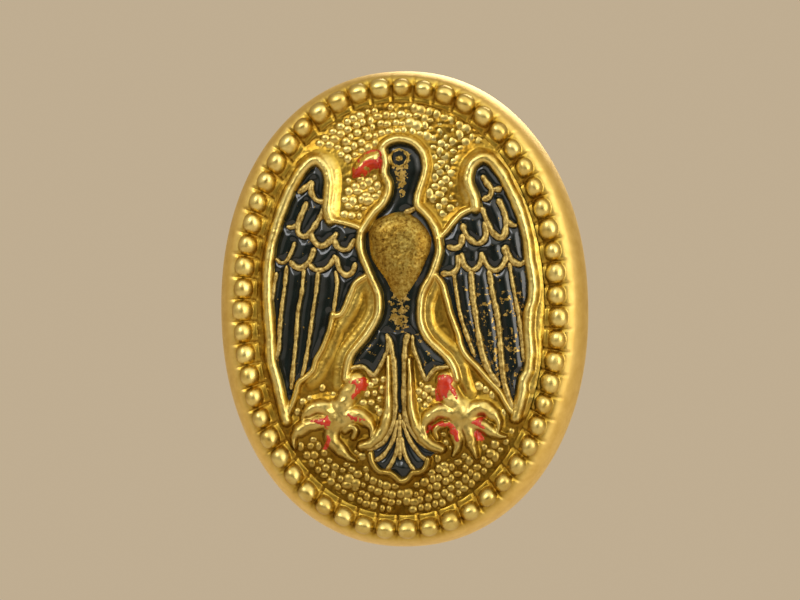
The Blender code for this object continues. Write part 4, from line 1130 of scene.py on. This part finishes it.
def colour_mix(tree, factor, a, b, blend="MIX"):
    node = add_node(tree, "ShaderNodeMix", data_type="RGBA", blend_type=blend)
    feed(tree, node.inputs[0], factor)
    feed(tree, node.inputs[6], rgba(a))
    feed(tree, node.inputs[7], rgba(b))
    return node.outputs[2]


def ramp(tree, source, stops):
    node = tree.nodes.new("ShaderNodeValToRGB")
    elements = node.color_ramp.elements
    while len(elements) < len(stops):
        elements.new(0.5)
    for element, (position, value) in zip(elements, stops):
        element.position = position
        element.color = rgba(value)
    tree.links.new(source, node.inputs[0])
    return node.outputs[0]


def attribute(tree, name):
    return add_node(tree, "ShaderNodeAttribute", attribute_name=name).outputs["Fac"]


def noise(tree, scale, detail=3.0, roughness=0.55):
    """Noise in cells per millimetre, fixed to the object."""
    where = tree.nodes.new("ShaderNodeTexCoord")
    node = add_node(tree, "ShaderNodeTexNoise", Scale=scale / MM, Detail=detail, Roughness=roughness)
    tree.links.new(where.outputs["Object"], node.inputs["Vector"])
    return node.outputs["Fac"]


def mottle(tree, stops, *grain):
    """Noise of a given scale, detail and roughness, drawn through a ramp."""
    return ramp(tree, noise(tree, *grain), stops)


def finish_shader(tree, shader, colour, metallic, roughness, bump=None):
    """Sets the look of a shader. Bump is a height, its strength, and its distance in millimetres."""
    for name, value in (("Base Color", colour), ("Metallic", metallic), ("Roughness", roughness)):
        feed(tree, shader.inputs[name], value)
    if bump:
        node = add_node(tree, "ShaderNodeBump", Strength=bump[1], Distance=bump[2] * MM)
        tree.links.new(bump[0], node.inputs["Height"])
        tree.links.new(node.outputs["Normal"], shader.inputs["Normal"])


def gilt_material():
    """Gold-washed brass: a painted highlight on the relief, brown painted shade with some grime in low places,
    satin on the rim, and painted shade towards the low end.
    """
    material, tree, shader = node_material("gilt")
    rise, satin, dull, worn, shade_below = (
        attribute(tree, name) for name in ("rise", "satin", "dull", "worn", "painted_shade_below")
    )
    # By height: dark brown in the low places is painted shade with some grime, and pale gold on the tops is a
    # painted highlight.
    colour = ramp(tree, rise, [
        (0.0, (0.22, 0.11, 0.01)), (0.3, (0.50, 0.335, 0.05)), (1.0, (0.76, 0.625, 0.225)),
    ])
    grime = mottle(tree, [(0.38, (0.78, 0.66, 0.42)), (0.58, 1.0)], 0.8, 5.0, 0.65)
    colour = colour_mix(tree, 0.8, colour, grime, "MULTIPLY")
    # Painted shade: the metal grows darker towards the low end of the badge.
    colour = colour_mix(tree, shade_below, colour, (0.52, 0.46, 0.32), "MULTIPLY")
    sandy = mottle(tree, [(0.35, (0.26, 0.165, 0.038)), (0.6, (0.60, 0.455, 0.155))], 5.0)
    colour = colour_mix(tree, dull, colour, sandy)
    rubbed = mottle(tree, [
        (0.33, (0.03, 0.02, 0.008)), (0.41, (0.22, 0.125, 0.02)), (0.51, (0.34, 0.235, 0.045)),
        (0.66, (0.50, 0.38, 0.11)),
    ], 5.0, 5.0, 0.72)
    patches = mottle(tree, [(0.42, (0.9, 0.8, 0.62)), (0.6, 1.0)], 0.7)
    colour = colour_mix(tree, worn, colour, colour_mix(tree, 1.0, rubbed, patches, "MULTIPLY"))
    rim_colour = mottle(tree, [(0.3, (0.65, 0.44, 0.11)), (0.7, (0.75, 0.54, 0.165))], 1.6, 4.0)
    colour = colour_mix(tree, satin, colour, rim_colour)
    rough = mottle(tree, [(0.3, 0.28), (0.7, 0.4)], 3.0, 4.0)
    for factor, level in ((dull, 0.5), (worn, 0.48), (satin, 0.52)):
        rough = colour_mix(tree, factor, rough, level)
    finish_shader(tree, shader, colour, 1.0, rough, (noise(tree, 9.0), 0.3, 0.02))
    return material


def lacquer_material(name, dark, light, roughness):
    """Thick glossy paint, uneven in colour, with gold showing in specks where it is worn."""
    material, tree, shader = node_material(name)
    paint = mottle(tree, [(0.35, dark), (0.7, light)], 1.4, 4.0)
    grain = add_node(tree, "ShaderNodeMath", operation="ADD")
    tree.links.new(noise(tree, 3.4, 4.0, 0.65), grain.inputs[0])
    tree.links.new(attribute(tree, "worn"), grain.inputs[1])
    bare = ramp(tree, grain.outputs[0], [(0.70, 0.0), (0.73, 1.0)])
    gold = mottle(tree, [(0.35, (0.30, 0.18, 0.03)), (0.65, (0.62, 0.42, 0.12))], 3.0, 4.0)
    gloss = mottle(tree, [(0.35, roughness), (0.75, roughness + 0.06)], 2.0, 4.0)
    colour, rough = colour_mix(tree, bare, paint, gold), colour_mix(tree, bare, gloss, 0.42)
    finish_shader(tree, shader, colour, bare, rough, (noise(tree, 0.9, 1.0), 0.06, 0.03))
    return material


def sheet_material(name, low, high, roughness, metallic=1.0):
    """Plain metal or board, mottled between two colours."""
    material, tree, shader = node_material(name)
    colour = mottle(tree, [(0.3, low), (0.7, high)], 0.7, 5.0, 0.6)
    rough = mottle(tree, [(0.3, roughness - 0.06), (0.7, roughness + 0.08)], 2.5, 4.0)
    finish_shader(tree, shader, colour, metallic, rough, (noise(tree, 6.0), 0.25, 0.02))
    return material


# Surroundings


def build_camera():
    azimuth, elevation = math.radians(CAMERA_AZIMUTH), math.radians(CAMERA_ELEVATION)
    level = math.cos(elevation)
    back = Vector((math.sin(azimuth) * level, -math.cos(azimuth) * level, math.sin(elevation)))
    data = bpy.data.cameras.new("camera")
    camera = link("camera", data)
    data.sensor_width = SENSOR_WIDTH
    data.lens = SENSOR_WIDTH * CAMERA_DISTANCE / VIEW_WIDTH
    turn = (-back).to_track_quat("-Z", "Y").to_matrix() @ Matrix.Rotation(math.radians(CAMERA_ROLL), 3, "Z")
    middle = Vector((0, -VIEW_DEPTH, 0)) - turn @ Vector((*VIEW_OFFSET, 0))
    camera.rotation_euler = turn.to_euler()
    camera.location = (middle + back * CAMERA_DISTANCE) * MM
    data.clip_start, data.clip_end = 0.01, 10.0
    bpy.context.scene.camera = camera


def build_lights():
    """The soft lights, each turned towards the badge."""
    for name, (location, size, power, colour) in LIGHTS.items():
        data = bpy.data.lights.new(name, "AREA")
        data.shape = "RECTANGLE"
        data.size, data.size_y = size
        data.energy = power
        data.color = colour
        light = link(name, data)
        light.location = location
        light.rotation_euler = (-Vector(location)).to_track_quat("-Z", "Y").to_euler()


def linear(tree, source, scale, offset):
    node = add_node(tree, "ShaderNodeMath", operation="MULTIPLY_ADD")
    node.inputs[1].default_value, node.inputs[2].default_value = scale, offset
    tree.links.new(source, node.inputs[0])
    return node.outputs[0]


def build_world():
    """Pale surroundings, darker below and towards the side from which the face is seen."""
    world = bpy.data.worlds.new("studio")
    bpy.context.scene.world = world
    world.use_nodes = True
    tree = world.node_tree
    direction = tree.nodes.new("ShaderNodeTexCoord").outputs["Generated"]
    split = tree.nodes.new("ShaderNodeSeparateXYZ")
    tree.links.new(direction, split.inputs[0])
    by_height = ramp(tree, linear(tree, split.outputs["Z"], 0.5, 0.5), TINT_BY_HEIGHT)
    by_side = ramp(tree, linear(tree, split.outputs["X"], 0.5, 0.5), TINT_BY_SIDE)
    ahead = ramp(tree, linear(tree, split.outputs["Y"], -1.0, 0.0), [(0.05, 0.0), (0.35, 1.0)])
    pale = colour_mix(tree, ahead, BACKDROP, colour_mix(tree, 1.0, by_height, by_side, "MULTIPLY"))
    toward = add_node(tree, "ShaderNodeVectorMath", operation="DOT_PRODUCT")
    toward.inputs[1].default_value = SHADE_DIRECTION
    tree.links.new(direction, toward.inputs[0])
    shaded = ramp(tree, toward.outputs["Value"], [(0.76, 0.0), (0.94, 1.0)])
    tree.links.new(colour_mix(tree, shaded, pale, SHADE), tree.nodes["Background"].inputs["Color"])


def build_floor():
    material, tree, shader = node_material("floor")
    colour = mottle(tree, [(0.3, (0.66, 0.60, 0.54)), (0.7, (0.70, 0.64, 0.58))], 0.02)
    finish_shader(tree, shader, colour, 0.0, 0.9)
    corners = [(x * FLOOR_HALF, y * FLOOR_HALF, FLOOR_LEVEL) for x, y in ((-1, 1), (1, 1), (1, -1), (-1, -1))]
    make_object("floor", corners, [[(0, 1, 2, 3)]], material)


# The badge


def wear_right_wing(points):
    x, z = points.T
    return 0.04 + 0.1 * smooth_step(x, 3.5, 5.0) * smooth_step(-z, -3.0, 0.0) * smooth_step(z, -6.5, -4.5)


def wear_head(points):
    gap = signed_distance(points, smooth_line(FACE, closed=True))
    ring = np.abs(np.linalg.norm(points - EYE_CENTRE, axis=1) - 0.34)
    return 0.26 * smooth_step(gap, -0.2, 0.2) * smooth_step(ring, 0.06, 0.14)


def wear_body(points):
    x, z = points.T
    middle = 1 - smooth_step(np.abs(x - 0.1), 0.3, 0.9)
    return 0.24 * middle * smooth_step(-z, -2.2, -1.0) * smooth_step(z, -2.4, -0.8)


def wear_beak(points):
    ridge, _ = distance(points, smooth_line(BEAK_RUBBED), 0.6)
    return 0.2 + 0.75 * (1 - smooth_step(ridge, 0.1, 0.32))


# Pools of black lacquer: outline, wear, and how the names of the nodes they replace go on
POOLS = {
    "wing_left": (LEFT_WING, 0.02, ["wing_left"]),
    "wing_right": (RIGHT_WING, wear_right_wing, ["wing_right"]),
    "head": (HEAD, wear_head, ["head", "neck", "eye"]),
    "body": (BODY, wear_body, ["neck"]),
    "thigh_left": (LEFT_THIGH, 0.1, ["thigh_left"]),
    "thigh_right": (RIGHT_THIGH, 0.1, ["thigh_right"]),
    "tail_shaft": (TAIL_SHAFT, 0.0, ["tail_shaft"]),
    "tail_fan": (TAIL_FAN, 0.0, ["tail_strip"]),
}
FOOT_WEAR = 0.12


def black_nodes(words):
    names = sorted(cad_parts)
    return [name for name in names if any(name.startswith("black_" + word) for word in words)]


def place(piece, nodes, body="badge"):
    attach(piece, body)
    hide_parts(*nodes)


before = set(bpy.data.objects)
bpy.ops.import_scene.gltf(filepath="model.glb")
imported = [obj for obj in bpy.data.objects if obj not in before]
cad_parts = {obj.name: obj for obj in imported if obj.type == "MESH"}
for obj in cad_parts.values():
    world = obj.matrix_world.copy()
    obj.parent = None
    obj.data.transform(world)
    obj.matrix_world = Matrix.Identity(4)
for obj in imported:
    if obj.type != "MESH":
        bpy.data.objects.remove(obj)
bpy.context.scene.view_settings.view_transform = "Standard"
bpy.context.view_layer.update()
build_camera()
build_lights()
build_world()
build_floor()

GILT = gilt_material()
BLACK = lacquer_material("black_lacquer", (0.003, 0.005, 0.005), (0.006, 0.011, 0.011), 0.08)
RED = lacquer_material("red_lacquer", (0.38, 0.016, 0.005), (0.58, 0.045, 0.010), 0.24)
BACK = sheet_material("back_brass", (0.42, 0.30, 0.11), (0.58, 0.44, 0.18), 0.36)
WIRE = sheet_material("loop_brass", (0.50, 0.36, 0.14), (0.64, 0.49, 0.22), 0.3)
SOLDER = sheet_material("solder", (0.40, 0.39, 0.36), (0.58, 0.56, 0.52), 0.42)
STRIP = sheet_material("prong_brass", (0.54, 0.39, 0.15), (0.70, 0.54, 0.24), 0.3)
CARD = sheet_material("card_board", (0.25, 0.18, 0.11), (0.36, 0.27, 0.17), 0.9, 0.0)

for build in (build_field, build_pebbles, build_feather_lines, build_rim):
    place(build(GILT), ["face_shell"])
for name, (region, wear, words) in POOLS.items():
    place(build_pool("lacquer_" + name, region, wear, BLACK), black_nodes(words))
place(build_coat("lacquer_beak", BEAK, wear_beak, RED), ["red_beak"])
for name, (node, outline) in RED_AREAS.items():
    place(build_coat("paint_" + name, outline, FOOT_WEAR, RED), [node])

place(build_back_plate(BACK), ["back_plate"])
place(build_loop(WIRE), ["prong_loop"])
place(build_solder("solder_right", 1, SOLDER), ["prong_loop"])
place(build_solder("solder_left", -1, SOLDER), ["prong_loop"])
place(build_prong("strip_upper", 1, STRIP), ["prong_upper"], "upper_prong")
place(build_prong("strip_lower", -1, STRIP), ["prong_lower"], "lower_prong")

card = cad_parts["packing_board"]
card.data.materials.clear()
card.data.materials.append(CARD)
